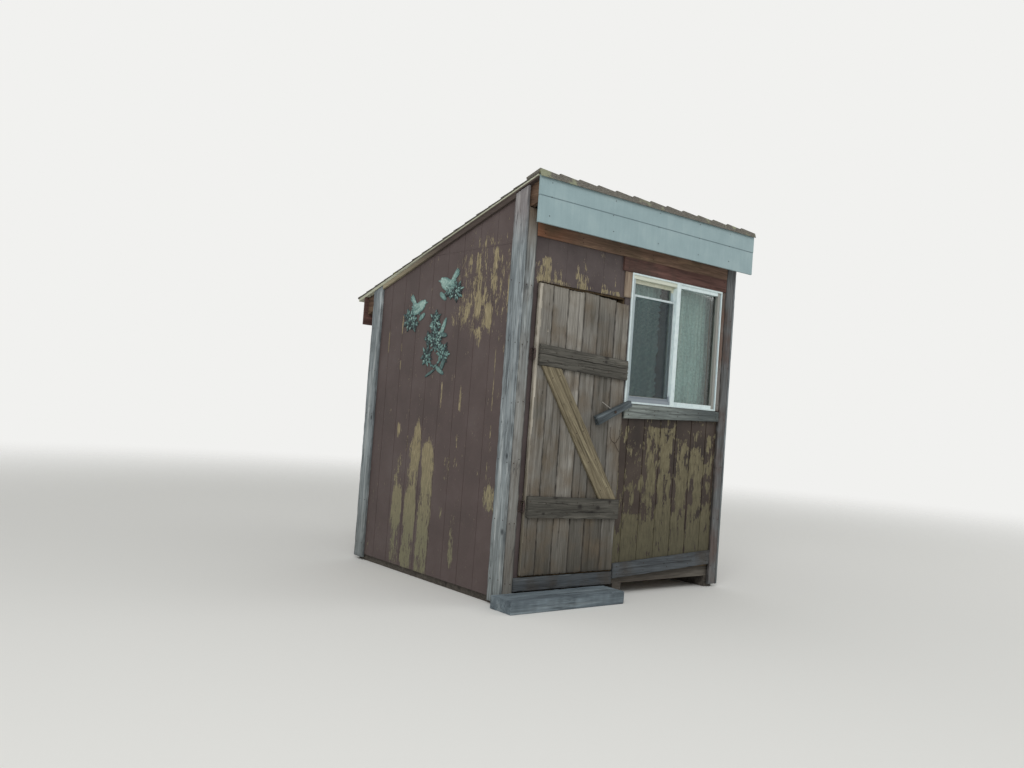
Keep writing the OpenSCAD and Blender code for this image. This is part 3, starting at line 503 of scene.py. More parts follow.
def windowGlass(name):
    # float glass with dried rain on it: clear, with a hint of haze
    add, where = startTree(name)
    drops = add("TexNoise", {"Vector": where, "Scale": 60, "Detail": 4})
    haze = add("MapRange", [drops, 0.45, 0.75, 0.01, 0.14])
    newMaterial(name, "E6F0EC", haze, IOR=1.5, **{"Transmission Weight": 1.0})


def screenMesh(name):
    # woven glass-fibre insect screen, drawn at 9 mm so that it shows: dark threads, open between
    add, where = startTree(name)
    gaps = 0.0
    for turn in (0, math.radians(90)):
        turned = add("Mapping", {"Vector": where, "Rotation": (0, turn, 0)})
        wave = add("TexWave", {"Vector": turned, "Scale": 100 / 3, "Distortion": 0}, out="Fac")
        gaps = add("Math", [gaps, wave], operation="MAXIMUM")
    cover = add("MapRange", [gaps, 0.4, 0.9, 0.06, 0.46])
    newMaterial(name, "3F4B50", 0.7, Alpha=cover)


def curtainCloth(name):
    # thin cotton, faded blue-green: plain weave, chalky in the light, darker in the folds
    add, where = startTree(name)
    weave = grainNoise(add, where, "z", 1000 / 900, 1000 / 900, 2)
    bands = grainNoise(add, where, "z", 40, 700, 3)
    colour = add("ValToRGB", [bands], ramp=[(0.3, "8DA6A6"), (0.55, "A5BFBE"), (0.75, "BDCDC8")])
    specks = add("TexNoise", {"Vector": where, "Scale": 55, "Detail": 4, "Roughness": 0.7})
    speckle = add("MapRange", [specks, 0.36, 0.64, 0.76, 1.2])
    colour = add("VectorMath", {0: colour, "Scale": speckle}, operation="SCALE")
    newMaterial(name, colour, 0.85, weave, 0.3, **{"Sheen Weight": 0.3, "Sheen Roughness": 0.5})


def asphaltShingle(name, colours, moss, greens=("6B6F46", "8F9062")):
    # fibreglass shingle with ceramic granules, about 1.5 mm across and drawn at 3 mm: speckled and gritty
    add, where = startTree(name)
    tone = add("Attribute", out="Fac", attribute_name="tone")
    grit = add("TexVoronoi", {"Vector": where, "Scale": 330, "Randomness": 1}).node.outputs
    colour = add("ValToRGB", [grit["Color"]], ramp=list(zip((0.2, 0.5, 0.8), colours)))
    shade = add("MapRange", [tone, 0, 1, 0.78, 1.18])
    colour = add("VectorMath", {0: colour, "Scale": shade}, operation="SCALE")
    cloud = add("TexNoise", {"Vector": where, "Scale": 9, "Detail": 5, "Roughness": 0.65})
    green = add("MapRange", [cloud, moss, moss + 0.1])
    mossy = add("ValToRGB", [grit["Distance"]], ramp=[(0.1, greens[0]), (0.6, greens[1])])
    height = sumOf(add, (green, 1.5), (grit["Distance"], 1))
    colour = layersOver(add, colour, (green, mossy))
    newMaterial(name, colour, 0.95, height, 1.5, **{"Specular IOR Level": 0.2})


def verdigris(name):
    # cast metal with a painted green patina: pale on the high places, dark teal in the hollows
    add, where = startTree(name)
    tone, height = (add("Attribute", out="Fac", attribute_name=each) for each in ("tone", "height"))
    spots = add("TexNoise", {"Vector": where, "Scale": 60, "Detail": 5, "Roughness": 0.65})
    both = sumOf(add, (height, 1), (tone, 0.55), (spots, 0.7))
    colour = add("ValToRGB", [both], ramp=[
        (0.34, "242F31"), (0.52, "46605F"), (0.74, "6F918C"), (0.98, "B0CBC2"),
    ])
    newMaterial(name, colour, 0.6, spots, 0.5, Metallic=0.15)


def rustySteel(name, colours):
    # old mild steel: flaked brown rust over dark metal
    add, where = startTree(name)
    flakes = add("TexNoise", {"Vector": where, "Scale": 160, "Detail": 6, "Roughness": 0.65})
    colour = add("ValToRGB", [flakes], ramp=list(zip((0.35, 0.52, 0.7), colours)))
    newMaterial(name, colour, 0.75, flakes, 0.6, Metallic=0.35)


print("other finishes")
fasciaPaint("chalkyFasciaPaint")
# the deck's edge: pale top with a painted shadow band below it
rakeEdge("bleachedDeck", {"below": 22, "paleBeyond": (1100, 1900), "mid": "A3A48E", "light": "CCCEBA"})
rakeEdge("paintedLath", {"below": 30, "paleBeyond": (1000, 1800), "mid": "8A806A", "light": "AFA588"})
agedAndShadedFrame = (
    ((1074, -5, 2390), (1574, 70, 2426.5), "D0D4C2", 0.9),     # the head over the sliding sash has yellowed
    ((1073, -5, 1462), (1103, 70, 2398), "96A3A6", 0.75),      # track at the left, grey: painted shade in its recess
    ((1100, -5, 1461), (1572, 70, 1491), "727A86", 0.85),       # track at the foot, lavender grey: painted shade in its recess
    ((2080, -5, 1462), (2115, 26, 2426), "87847C", 0.9),       # jamb at the right, beige grey, darkened with painted shade of its recess
    ((2112, -14, 1462), (2116.5, -5, 2426), "8EA4B2", 0.8),    # inner side of the raised lip, blue-grey: painted shade
    ((2080, 26, 1455), (2095, 76, 2435), "3A3430", 0.97),      # inner face behind the glass, dark: painted shade
)
agedSash = (
    ((1100, 0, 1485), (1134, 40, 2352), "AEBDC0", 0.9),        # stiles, whiter than the head
    ((1540, 0, 1485), (1576, 40, 2352), "A9BCC2", 0.9),
)
vinyl("whiteVinyl", ("D3E3E5", "E2F0F0"), "C0D0D1", agedAndShadedFrame)
vinyl("creamVinyl", ("C9CCB6", "D6D6C4"), "B0B09A", agedSash)
shadedScreen = (
    ((1095, -12, 1485), (1580, 12, 1530), "6C7581", 0.88),     # foot rail, lavender grey: painted shade
    # left stile, grey: painted shade
    ((1095, -12, 1485), (1128, 12, 2240), "8FA0A8", 0.7),
)
vinyl("greyAluminium", ("BCCACC", "D2DDDE"), "A2AFB2", shadedScreen)
windowGlass("floatGlass")
screenMesh("wovenScreen")
curtainCloth("fadedCotton")
asphaltShingle("weatheredShingle", ("4C4945", "66625B", "85817A"), 0.6)
asphaltShingle("lichenedCapShingle", ("5F5C56", "7C7870", "9A968C"), 0.56, ("767A62", "999C84"))
verdigris("greenPatina")
rustySteel("rustySteel", ("26201D", "3B2E27", "574234"))
rustySteel("paintedHinge", ("3A302E", "4C403D", "63534C"))
rustySteel("dullSteel", ("77736E", "9A968F", "BBB7AE"))

nodeMaterials = {
    "basePine": ["base_boards"],
    "stepTimber": ["door_step"],
    "framingPine": ["wall_posts", "wall_rails"],
    "rafterPine": ["rafters"],
    "groundTimber": ["skids", "floor_joists"],
    "floorPlywood": ["floor_deck"],
    "bleachedDeck": ["roof_deck"],
    "paintedLath": ["rake_laths"],
    "peelingPaintLeft": ["siding_left"],
    "peelingPaintRight": ["siding_right"],
    "peelingPaintBack": ["siding_back"],
    "peelingPaintOverDoor": ["siding_head", "siding_jamb", "siding_beside_window"],
    "peelingPaintUnderWindow": ["siding_under_window"],
    "blueGreyedCedar": ["corner_boards_front", "corner_boards_back"],
    "redStainedPine": ["header_board", "fascia_back"],
    "orangeStainedPine": ["frieze_boards"],
    "sillPine": ["sill_board"],
    "whiteVinyl": ["window_frame"],
    "creamVinyl": ["sash_left"],
    "floatGlass": ["window_glass"],
    "greyAluminium": ["screen_frame"],
    "wovenScreen": ["screen_mesh"],
    "dullSteel": ["curtain_rod", "button_nail"],
    "fadedCotton": ["curtain_left", "curtain_right"],
    "weatheredShingle": ["shingles"],
    "lichenedCapShingle": ["cap_row"],
    "chalkyFasciaPaint": ["fascia_front"],
    "doorPine": ["door_boards"],
    "ledgePine": ["door_ledges", "turn_button"],
    "bracePine": ["door_brace"],
    "paintedHinge": ["hinge_pins", "hinge_leaves"],
    "rustySteel": ["button_screw", "wire_pull"],
    "greenPatina": ["wall_plaques"],
}
for finish, names in nodeMaterials.items():
    for name in names:
        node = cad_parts[name]
        node.data.materials.clear()
        node.data.materials.append(bpy.data.materials[finish])


# Boards: cupped and furrowed faces, wandering edges, ragged ends, open cracks and knots, with painted shade
# in the cracks and along the long edges
def cutGrid(piece, cuts):
    # level cuts across a fresh primitive, so many along each axis
    bpy.ops.object.mode_set(mode="EDIT")
    bpy.ops.mesh.select_mode(type="EDGE")
    for axis, number in enumerate(cuts):
        if number > 0:
            bpy.ops.mesh.select_all(action="DESELECT")
            shape = bmesh.from_edit_mesh(piece.data)
            for edge in shape.edges:
                run = edge.verts[1].co - edge.verts[0].co
                edge.select_set(abs(run[axis]) > 0.99 * run.length)
            bmesh.update_edit_mesh(piece.data)
            bpy.ops.mesh.subdivide(number_cuts=number)
    bpy.ops.object.mode_set(mode="OBJECT")


def onArris(edge):
    # an edge of the uncut cube keeps to a limit on two axes
    first, last = (vertex.co for vertex in edge.verts)
    return sum(abs(a) > 0.499 and abs(a - b) < 0.001 for a, b in zip(first, last)) > 1


def noiseAt(*spot):
    return noise.noise(Vector(spot))


def shapeBoard(finish, corners, inward, settings, seed, tone=0):
    # corners run round the outer face: the start, across its end, the far end, and back along the grain
    start, startEnd, farEnd, far = (place(*corner) for corner in corners)
    back = Vector(inward) / 1000
    width = (startEnd - start).length * 1000
    length = (far - start).length * 1000
    cell = settings["cell"]
    columns = round(width / cell[0])
    step = width / (columns + 1)
    clearSelection()
    bpy.ops.mesh.primitive_cube_add(size=1)
    board = bpy.context.object
    cutGrid(board, (columns, settings.get("layers", 1), round(length / cell[1])))
    shape = bmesh.new()
    shape.from_mesh(board.data)
    arris = [edge.index for edge in shape.edges if onArris(edge)]
    soot = shape.verts.layers.float.new("soot")
    toned = shape.verts.layers.float.new("tone")
    for vertex in shape.verts:
        u, depth, v = (part + 0.5 for part in vertex.co)
        across, along = u * width, v * length
        ridge = noiseAt(across / settings["ridge"], along / settings["ridge"] / 25, seed + 0.3)
        swell = noiseAt(across / 60, along / 500, seed + 7.1)
        push = settings["relief"] * (0.5 - ridge) + settings["cup"] * (2 * u - 1) ** 2 + 0.6 * swell
        edge = min(across, width - across)
        bite = noiseAt(along / 45, seed + 3.7, 9 * (u > 0.5)) - 0.05
        # painted shade along the long edges, fading out 11 mm into the face
        dark = settings["edge"] * max(0, 1 - edge / 11) * (0.7 + bite)
        if edge < 0.5:
            push += settings["chip"] * max(0, bite) * 6
        # the floor and walls of each crack are painted with shade
        for first, last, begin, end, open, deep in settings.get("cracks", ()):
            part = (along - begin) / (end - begin)
            if 0 < part < 1:
                centre = first + (last - first) * part + 5 * noiseAt(along / 70, seed, first)
                away = across - centre
                taper = math.sin(math.pi * part) ** 0.4
                if abs(away) < step / 2:
                    across = centre
                    push += deep * taper
                    dark = 1
                elif abs(away) < step * 1.5:
                    across = centre + math.copysign(max(open * taper, 1) / 2, away)
                    dark = max(dark, 0.35)
        for knotAcross, knotAlong, radius in settings.get("knots", ()):
            reach = math.hypot(across - knotAcross, (along - knotAlong) / 1.3) / radius
            if reach < 1.7:
                dark = max(dark, min(1, (1.7 - reach) / 0.9) * 0.9)
                push += max(0, 1.2 - reach)
        across += settings["wobble"] * noiseAt(along / 110, depth * 2, seed + 12 * (u > 0.5)) * abs(2 * u - 1)
        if v in (0, 1):
            tear = noiseAt(across / 14, depth * 1.5, seed + 5 * v)
            along += (1 if v == 0 else -1) * settings["ragged"] * max(0, 0.45 + tear)
            dark = max(dark, 0.25)
        near = start.lerp(startEnd, across / width)
        spot = near.lerp(far.lerp(farEnd, across / width), along / length)
        vertex.co = spot + back * depth + back.normalized() * max(0, push) / 1000 * (1 - depth)
        # the painted shade, with the knots and torn ends, goes on the points
        vertex[soot] = max(0, min(1, dark)) * (1 - 0.5 * depth)
        vertex[toned] = tone
    shape.to_mesh(board.data)
    shape.free()
    bpy.ops.object.mode_set(mode="EDIT")
    bpy.ops.mesh.select_mode(type="EDGE")
    bpy.ops.mesh.select_all(action="DESELECT")
    shape = bmesh.from_edit_mesh(board.data)
    shape.edges.ensure_lookup_table()
    for index in arris:
        shape.edges[index].select_set(True)
    bmesh.update_edit_mesh(board.data)
    bpy.ops.mesh.bevel(offset=settings["round"] / 1000, segments=2, affect="EDGES", clamp_overlap=False)
    bpy.ops.object.mode_set(mode="OBJECT")
    bpy.ops.object.shade_smooth_by_angle(angle=math.radians(40))
    board.data.materials.append(bpy.data.materials[finish])
    return board


def joinPieces(pieces, name, finish=None):
    clearSelection()
    for piece in pieces:
        piece.select_set(True)
    bpy.context.view_layer.objects.active = pieces[0]
    if len(pieces) > 1:
        bpy.ops.object.join()
    pieces[0].name = name
    clearSelection()
    if finish:
        pieces[0].data.materials.clear()
        pieces[0].data.materials.append(bpy.data.materials[finish])
    return pieces[0]


def standFor(piece, body, slot, *nodes):
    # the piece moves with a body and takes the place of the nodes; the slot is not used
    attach(piece, body)
    if nodes:
        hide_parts(*nodes)


doorSettings = {
    "left": 138, "width": 890, "foot": 198, "height": 2030, "face": -28, "thick": 22, "gap": 3,
    "shares": (0, 0.146, 0.310, 0.486, 0.648, 0.842, 1.0),
    "heads": ((0, 3), (6, 8), (16, 12), (8, 16), (20, 26), (38, 42)),
    "tones": (0.32, 0.28, 0.98, -0.04, -0.30, 0.36),
    "cell": (6, 26), "ridge": 9, "relief": 1.4, "cup": 1.2, "wobble": 1.6, "ragged": 9,
    "chip": 1.6, "edge": 0.95, "round": 1.6,
}
doorCracks = (
    ((88, 96, 1200, 2000, 2.4, 7), (40, 34, 60, 620, 2, 6)),
    ((70, 62, 900, 1420, 2, 6),),
    ((96, 104, 1300, 2010, 2.6, 8), (52, 60, 200, 560, 2, 5)),
    ((60, 72, 380, 900, 2, 6),),
    ((118, 110, 1100, 1900, 2.4, 7), (60, 50, 90, 420, 2, 6)),
    ((70, 78, 1500, 1960, 2.2, 6), (86, 80, 300, 700, 2, 5)),
)


def buildDoorBoards(settings):
    boards = []
    front, foot = settings["face"], settings["foot"]
    top = foot + settings["height"]
    for i, (leftHead, rightHead) in enumerate(settings["heads"]):
        x0, x1 = (settings["left"] + settings["width"] * share for share in settings["shares"][i:i + 2])
        x0 += settings["gap"] / 2
        x1 -= settings["gap"] / 2
        level = zip((x0, x1, x1, x0), (foot, foot, top - rightHead, top - leftHead))
        corners = [(x, front, z) for x, z in level]
        boards.append(shapeBoard(
            "doorPine", corners, (0, settings["thick"], 0), {**settings, "cracks": doorCracks[i]},
            11 * i, settings["tones"][i],
        ))
    # the free left edge of the leaf, and a strip of the face beside it, is pale, darker towards the foot
    boards[0].data.materials.append(bpy.data.materials["paleBoardEdge"])
    for face in boards[0].data.polygons:
        centre = face.center - place(settings["left"], 0, foot)
        worn = 6 + 12 * min(1.8, centre.z) + 8 * noiseAt(centre.z * 9, 2, 5)
        if face.normal.x < -0.6 or centre.x * 1000 < worn:
            face.material_index = 1
    standFor(joinPieces(boards, "doorBoards"), "door", "door_timber", "door_boards")


ledgeSettings = {
    "face": -52, "thick": 24, "width": 148, "right": 1036,
    "upper": {
        "left": 162, "top": 1802, "sag": 40, "tone": 0.18,
        "cracks": ((66, 62, 4, 868, 5.5, 12), (104, 96, 430, 860, 2.4, 7), (112, 118, 20, 260, 2, 6)),
        "knots": ((40, 640, 9),),
    },
    "lower": {
        "left": 146, "top": 751, "sag": 24, "tone": -0.3,
        "cracks": ((40, 52, 100, 500, 2.6, 8), (104, 98, 300, 840, 2.8, 8)),
        "knots": ((62, 492, 13), (66, 672, 12), (118, 150, 8), (20, 790, 9)),
    },
    "cell": (4, 13), "ridge": 7, "relief": 1.5, "cup": 1.6, "wobble": 2.6, "ragged": 7,
    "chip": 2.2, "edge": 0.4, "round": 1.8,
}


def buildLedges(settings):
    boards = []
    x1, y, low = settings["right"], settings["face"], settings["width"]
    for row, name in enumerate(("upper", "lower")):
        one = settings[name]
        x0, top = one["left"], one["top"]
        end = top - one["sag"]
        corners = ((x0, y, top), (x0, y, top - low), (x1, y, end - low), (x1, y, end))
        boards.append(shapeBoard(
            "ledgePine", corners, (0, settings["thick"], 0), {**settings, **one}, 40 + row, one["tone"],
        ))
    standFor(joinPieces(boards, "doorLedges"), "door", "ledge_timber", "door_ledges")


braceSettings = {
    "corners": ((824, -52, 733), (1002, -52, 728), (370, -52, 1644), (192, -52, 1652)), "thick": 24,
    "cell": (6, 18), "ridge": 8, "relief": 1.3, "cup": 1.4, "wobble": 1.8, "ragged": 0,
    "chip": 1.8, "edge": 0.35, "round": 1.8,
    "cracks": ((70, 64, 120, 620, 2.4, 7), (110, 116, 480, 1020, 2.4, 7)),
}
buttonSettings = {
    "centre": (908, 1373), "half": 187, "thickEnd": 35, "thinEnd": 23, "tilt": 23.6, "face": -72, "thick": 36,
    "cell": (4, 12), "layers": 5, "ridge": 7, "relief": 1.6, "cup": 1.5, "wobble": 2, "ragged": 4,
    "chip": 2.4, "edge": 0.3, "round": 3, "cracks": ((30, 24, 20, 330, 2, 6),),
}


def buildBrace(settings):
    brace = shapeBoard("bracePine", settings["corners"], (0, settings["thick"], 0), settings, 60)
    standFor(joinPieces([brace], "doorBrace"), "door", "brace_timber", "door_brace")


def buildButton(settings):
    turn = math.radians(settings["tilt"])
    half, thick, thin = settings["half"], settings["thickEnd"], settings["thinEnd"]
    corners = []
    for along, across in ((-half, thick), (-half, -thick), (half, -thin), (half, thin)):
        x = settings["centre"][0] + along * math.cos(turn) - across * math.sin(turn)
        z = settings["centre"][1] + along * math.sin(turn) + across * math.cos(turn)
        corners.append((x, settings["face"], z))
    button = shapeBoard("buttonPine", corners, (0, settings["thick"], 0), settings, 63)
    standFor(joinPieces([button], "turnButton"), "turn_button", "ledge_timber", "turn_button")


cornerSettings = {
    "front": -19, "back": 1979, "left": -19, "right": 2287, "foot": 20, "thick": 19, "short": 3,
    "cell": (8, 36), "ridge": 11, "relief": 1.2, "cup": 1.0, "wobble": 1.2, "ragged": 8,
    "chip": 1.2, "edge": 0.6, "round": 2,
}
# each one: finish, the side it faces, where it starts and ends across, seed, tone
# the blue-grey boards carry painted sky light
frontCornerBoards = (
    ("blueGreyedCedar", "left", 121, -19, 70, 0.1), ("tanGreyedCedar", "front", 0, 90, 71, 0.05),
    ("brownedCedar", "front", 2170, 2268, 72, 0), ("blueGreyedCedar", "right", -19, 121, 73, 0),
)
backCornerBoards = (
    ("blueGreyedCedar", "left", 1979, 1839, 74, 0), ("blueGreyedCedar", "back", 90, 0, 75, -0.1),
    ("blueGreyedCedar", "back", 2268, 2178, 76, 0.1), ("blueGreyedCedar", "right", 1839, 1979, 77, 0),
)


def buildCornerBoards(rows, name, node):
    boards = []
    foot, thick, short = (cornerSettings[key] for key in ("foot", "thick", "short"))
    for finish, facing, begin, end, seed, tone in rows:
        at = cornerSettings[facing]
        if facing in ("left", "right"):
            tops = [roofUnder(y, house["underDeck"]) - short for y in (begin, end)]
            corners = ((at, begin, foot), (at, end, foot), (at, end, tops[1]), (at, begin, tops[0]))
            inward = (thick if facing == "left" else -thick, 0, 0)
        else:
            top = roofUnder(at, house["underRafter"]) - short
            corners = ((begin, at, foot), (end, at, foot), (end, at, top), (begin, at, top))
            inward = (0, thick if facing == "front" else -thick, 0)
        # the boards facing the front get stronger painted shade along their long edges
        shade = {**cornerSettings, "edge": 1.5} if facing == "front" else cornerSettings
        boards.append(shapeBoard(finish, corners, inward, shade, seed, tone))
    standFor(joinPieces(boards, name), "building", "grey_trim", node)


flatBoards = {
    "cell": (7, 22), "ridge": 8, "relief": 1.4, "cup": 1.2, "wobble": 2, "ragged": 6,
    "chip": 2, "edge": 0.4, "round": 2,
}

# each piece: its slot, its node, and its boards with finish, thickness, outline, settings, seed and tone
trimPieces = {
    "sillBoard": ("grey_trim", "sill_board", (
        ("sillPine", 30, ((1046, 1444), (1046, 1333), (2162, 1364), (2162, 1444)), {
            "layers": 3, "cracks": ((30, 36, 40, 520, 2, 7), (58, 50, 500, 1080, 2, 7)),
        }, 80, 0),
    )),
    "windowCasings": ("red_brown_trim", "window_casings", (
        ("fadedCasing", 12, ((984, 2240), (1056, 2240), (1056, 2440), (984, 2440)), {}, 86, 0),
        ("redGreyedCasing", 15, ((2133, 1448), (2169.7, 1448), (2169.7, 2440), (2133, 2440)), {}, 87, 0),
    )),
    "baseBoards": ("grey_trim", "base_boards", (
        ("basePine", 19, ((92, 188), (92, 94), (1042, 94), (1042, 188)), {}, 81, -0.2),
        ("basePine", 19, ((1044, 244), (1044, 132), (2169.7, 190), (2169.7, 302)), {
            "cracks": ((50, 60, 80, 900, 2.4, 7),),
        }, 82, 0),
    )),
}
stepSettings = {
    **flatBoards, "corners": ((-95, -19.3, 92), (-95, -244.3, 92), (955, -244.3, 92), (955, -19.3, 92)),
    "high": 92, "cell": (10, 24), "layers": 8, "relief": 2.4, "wobble": 3, "chip": 4, "round": 5,
    "cracks": ((60, 84, 80, 700, 4, 12), (150, 140, 300, 980, 4, 12)),
}


def buildTrim(name, slot, node, rows):
    boards = []
    for finish, thick, outline, extra, seed, tone in rows:
        corners = [(x, -thick, z) for x, z in outline]
        boards.append(shapeBoard(finish, corners, (0, thick, 0), {**flatBoards, **extra}, seed, tone))
    standFor(joinPieces(boards, name), "building", slot, node)


def buildStep(settings):
    timber = shapeBoard("stepTimber", settings["corners"], (0, 0, -settings["high"]), settings, 84)
    standFor(joinPieces([timber], "doorStep"), "building", "weathered_timber", "door_step")


print("door")
buildDoorBoards(doorSettings)
buildLedges(ledgeSettings)
buildBrace(braceSettings)
buildButton(buttonSettings)
print("trim boards")
buildCornerBoards(frontCornerBoards, "cornerBoardsFront", "corner_boards_front")
buildCornerBoards(backCornerBoards, "cornerBoardsBack", "corner_boards_back")
for name, (slot, node, rows) in trimPieces.items():
    buildTrim(name, slot, node, rows)
buildStep(stepSettings)

# Curtains: thin faded cotton gathered on the rod, in soft folds that open out towards the foot
curtainSettings = {
    "foot": 1458, "rodHeight": 2462, "rodDepth": 131, "rodReach": 8.6, "between": (119, 143),
    "hem": 36, "cell": (5, 22), "cloth": 0.7,
    "left": {"from": 1079, "to": 1550, "pleat": 62, "depth": 7.5, "torn": 24, "seed": 3},
    "right": {"from": 1713, "to": 2149, "pleat": 44, "depth": 10, "torn": 0, "seed": 8},
}


def buildCurtain(side, name, node):
    shared, one = curtainSettings, curtainSettings[side]
    left, seed, rod, reach = one["from"], one["seed"], shared["rodDepth"], shared["rodReach"]
    hang = shared["rodHeight"] - shared["foot"]
    turn = math.pi * reach
    length = hang + turn + shared["hem"]
    width = one["to"] - left
    columns, rows = round(width / shared["cell"][0]), round(length / shared["cell"][1])
    clearSelection()
    bpy.ops.mesh.primitive_grid_add(x_subdivisions=columns, y_subdivisions=rows, size=1)
    curtain = bpy.context.object
    curtain.name = name
    curtain.data.uv_layers[0].name = "flatCloth"
    for vertex in curtain.data.vertices:
        u, v = vertex.co.x + 0.5, vertex.co.y + 0.5
        along = v * length
        x = left + u * width
        if one["torn"]:
            tear = 0.7 * noiseAt(along / 80, seed, 0) + noiseAt(along / 26, seed, 4)
            x -= one["torn"] * (tear + 0.6) * max(0, u * 4 - 3)
        drift = 14 * noiseAt(x / 160, along / 500, seed)
        phase = (x + drift - left) / one["pleat"]
        swell = 0.55 + 0.45 * min(1, (hang - along) / hang * 1.4) if along < hang else 0.2
        fold = math.sin(math.tau * phase) + 0.35 * math.sin(math.tau * phase * 2.3 + seed)
        fold *= one["depth"] * swell * (0.75 + 0.5 * noiseAt(phase, 3, seed))
        fold *= min(1, max(0.12, (hang - along) / 60))
        if along < hang:
            y, z = rod - reach * max(0, 1 - (hang - along) / 120) ** 2 + fold, along
        elif along < hang + turn:
            angle = (along - hang) / reach
            y, z = rod - reach * math.cos(angle), hang + reach * math.sin(angle)
        else:
            y, z = rod + reach, 2 * hang + turn - along
        near, far = shared["between"]
        vertex.co = place(x, max(near, min(far, y)), shared["foot"] + z)
    thicken = curtain.modifiers.new("thickness", "SOLIDIFY")
    thicken.thickness = shared["cloth"] / 1000
    thicken.offset = 0
    bpy.ops.object.modifier_apply(modifier="thickness")
    bpy.ops.object.shade_smooth()
    curtain.data.materials.append(bpy.data.materials["fadedCotton"])
    standFor(curtain, "building", "curtain_cloth", node)


print("curtains")
buildCurtain("left", "curtainLeft", "curtain_left")
buildCurtain("right", "curtainRight", "curtain_right")


# Plaques: leaves, petals and birds in relief, pressed in thin metal, standing where the flat plates were,
# which are hidden
def shapeLeaf():
    # a pointed leaf one metre long and wide, with a raised midrib, to be scaled for each copy
    clearSelection()
    quarter = math.radians(90)
    bpy.ops.mesh.primitive_uv_sphere_add(segments=14, ring_count=8, radius=0.5, rotation=(0, quarter, 0))
    leaf = bpy.context.object
    bpy.ops.object.transform_apply(rotation=True)
    for vertex in leaf.data.vertices:
        x, y, z = vertex.co
        taper = (1 - abs(2 * x) ** 2.2) ** 0.5 * (1 - 0.25 * x)
        full = max(0.02, (0.25 - x * x) ** 0.5 * 2)
        y = y / full * taper
        rib = max(0, 1 - abs(y) * 12) * 0.35 * (1 - abs(2 * x) ** 3)
        vein = 0.10 * math.sin(abs(y) * 26 + x * 34) * min(1, abs(y) * 8)
        z = -0.1 if z < 0 else z / full * taper + (rib + vein) * taper
        vertex.co = (x, y, z)
    bpy.ops.object.shade_smooth_by_angle(angle=math.radians(60))
    return leaf


def storeOnPoints(piece, name, values):
    piece.data.attributes.new(name, "FLOAT", "POINT").data.foreach_set("value", values)


def layOnWall(piece, at, u, v, angle, size, mirror):
    # the wall is seen from the left: u to the right is towards the front, and the relief stands out
    storeOnPoints(piece, "height", [max(0, vertex.co.z) * 0.5 for vertex in piece.data.vertices])
    for vertex in piece.data.vertices:
        x, y, z = (part * scale for part, scale in zip(vertex.co, size))
        turned = math.radians(angle)
        across = u + x * math.cos(turned) - y * math.sin(turned)
        up = v + x * math.sin(turned) + y * math.cos(turned)
        if mirror:
            across = -across
        vertex.co = place(-plaqueSettings["plate"] - z, at[0] - across, at[1] + up)
    if mirror:
        piece.data.flip_normals()


def copyPiece(template):
    piece = template.copy()
    piece.data = template.data.copy()
    bpy.context.collection.objects.link(piece)
    return piece


plaqueSettings = {
    "plate": 2,
    # place, angle, length, width, height and tone of the body, breast, head, beak, three feathers of the
    # folded wing, four of the tail, the twig, its leaf and the eye
    "bird": (
        (0, -4, -24, 214, 100, 15, 0.45), (-38, 10, -30, 128, 92, 18, 0.5), (-82, 36, -30, 62, 54, 17, 0.55),
        (-118, 37, 172, 42, 14, 9, 0.3), (30, 18, 12, 150, 44, 22, 0.4), (44, 4, 6, 150, 36, 20, 0.3),
        (52, -12, -2, 132, 30, 18, 0.2), (84, 56, 40, 150, 24, 12, 0.35), (78, 64, 46, 146, 22, 13, 0.45),
        (70, 68, 52, 136, 22, 12, 0.35), (88, 46, 33, 136, 20, 11, 0.25), (-20, -58, 32, 124, 13, 8, 0.0),
        (-60, -84, -32, 112, 46, 9, 0.25), (-84, 44, 0, 9, 9, 22, -0.8),
    ),
    "birdRelief": 0.55,
    # share of the arm, turn, share of the length, and place beside the arm
    "leaflets": (
        (0.74, 0, 0.42, 0), (0.56, 44, 0.34, 0.10), (0.56, -44, 0.34, -0.10),
        (0.32, 52, 0.30, 0.07), (0.32, -52, 0.30, -0.07),
    ),
    "flower": {"petals": 5, "reach": 9, "long": 20, "wide": 15, "high": 10},
    "upperBird": {
        "at": (890, 2247), "scale": 1.0, "mirror": False,
        "sprays": ((118, -54, 7, 96, 12), (30, -52, 5, 70, 0)),
    },
    "lowerBird": {
        "at": (1282, 2092), "scale": 0.92, "mirror": True,
        "sprays": ((122, -94, 7, 108, 20), (52, -128, 5, 80, 40)),
    },
    "vine": {
        "at": (984, 1800),
        "sprays": (
            (-46, 182, 6, 92, 90), (-40, 110, 5, 84, 20), (-116, 40, 5, 78, 40), (-10, 30, 7, 100, 5),
            (-132, -96, 7, 92, 30), (92, -72, 6, 100, 0),
        ),
        "leaves": (
            (70, 130, 64, 150, 48), (76, 66, -8, 112, 44), (-58, 44, 8, 120, 24),
            (98, -150, 62, 150, 52), (-66, -226, 24, 160, 26), (60, -206, -26, 130, 42),
        ),
        "loop": (-22, -104, 84, 11),
    },
}


def addLeaf(leaf, pieces, at, u, v, angle, long, wide, tone, high, mirror=False):
    piece = copyPiece(leaf)
    storeOnPoints(piece, "tone", [tone] * len(piece.data.vertices))
    layOnWall(piece, at, u, v, angle, (long, wide, high), mirror)
    pieces.append(piece)


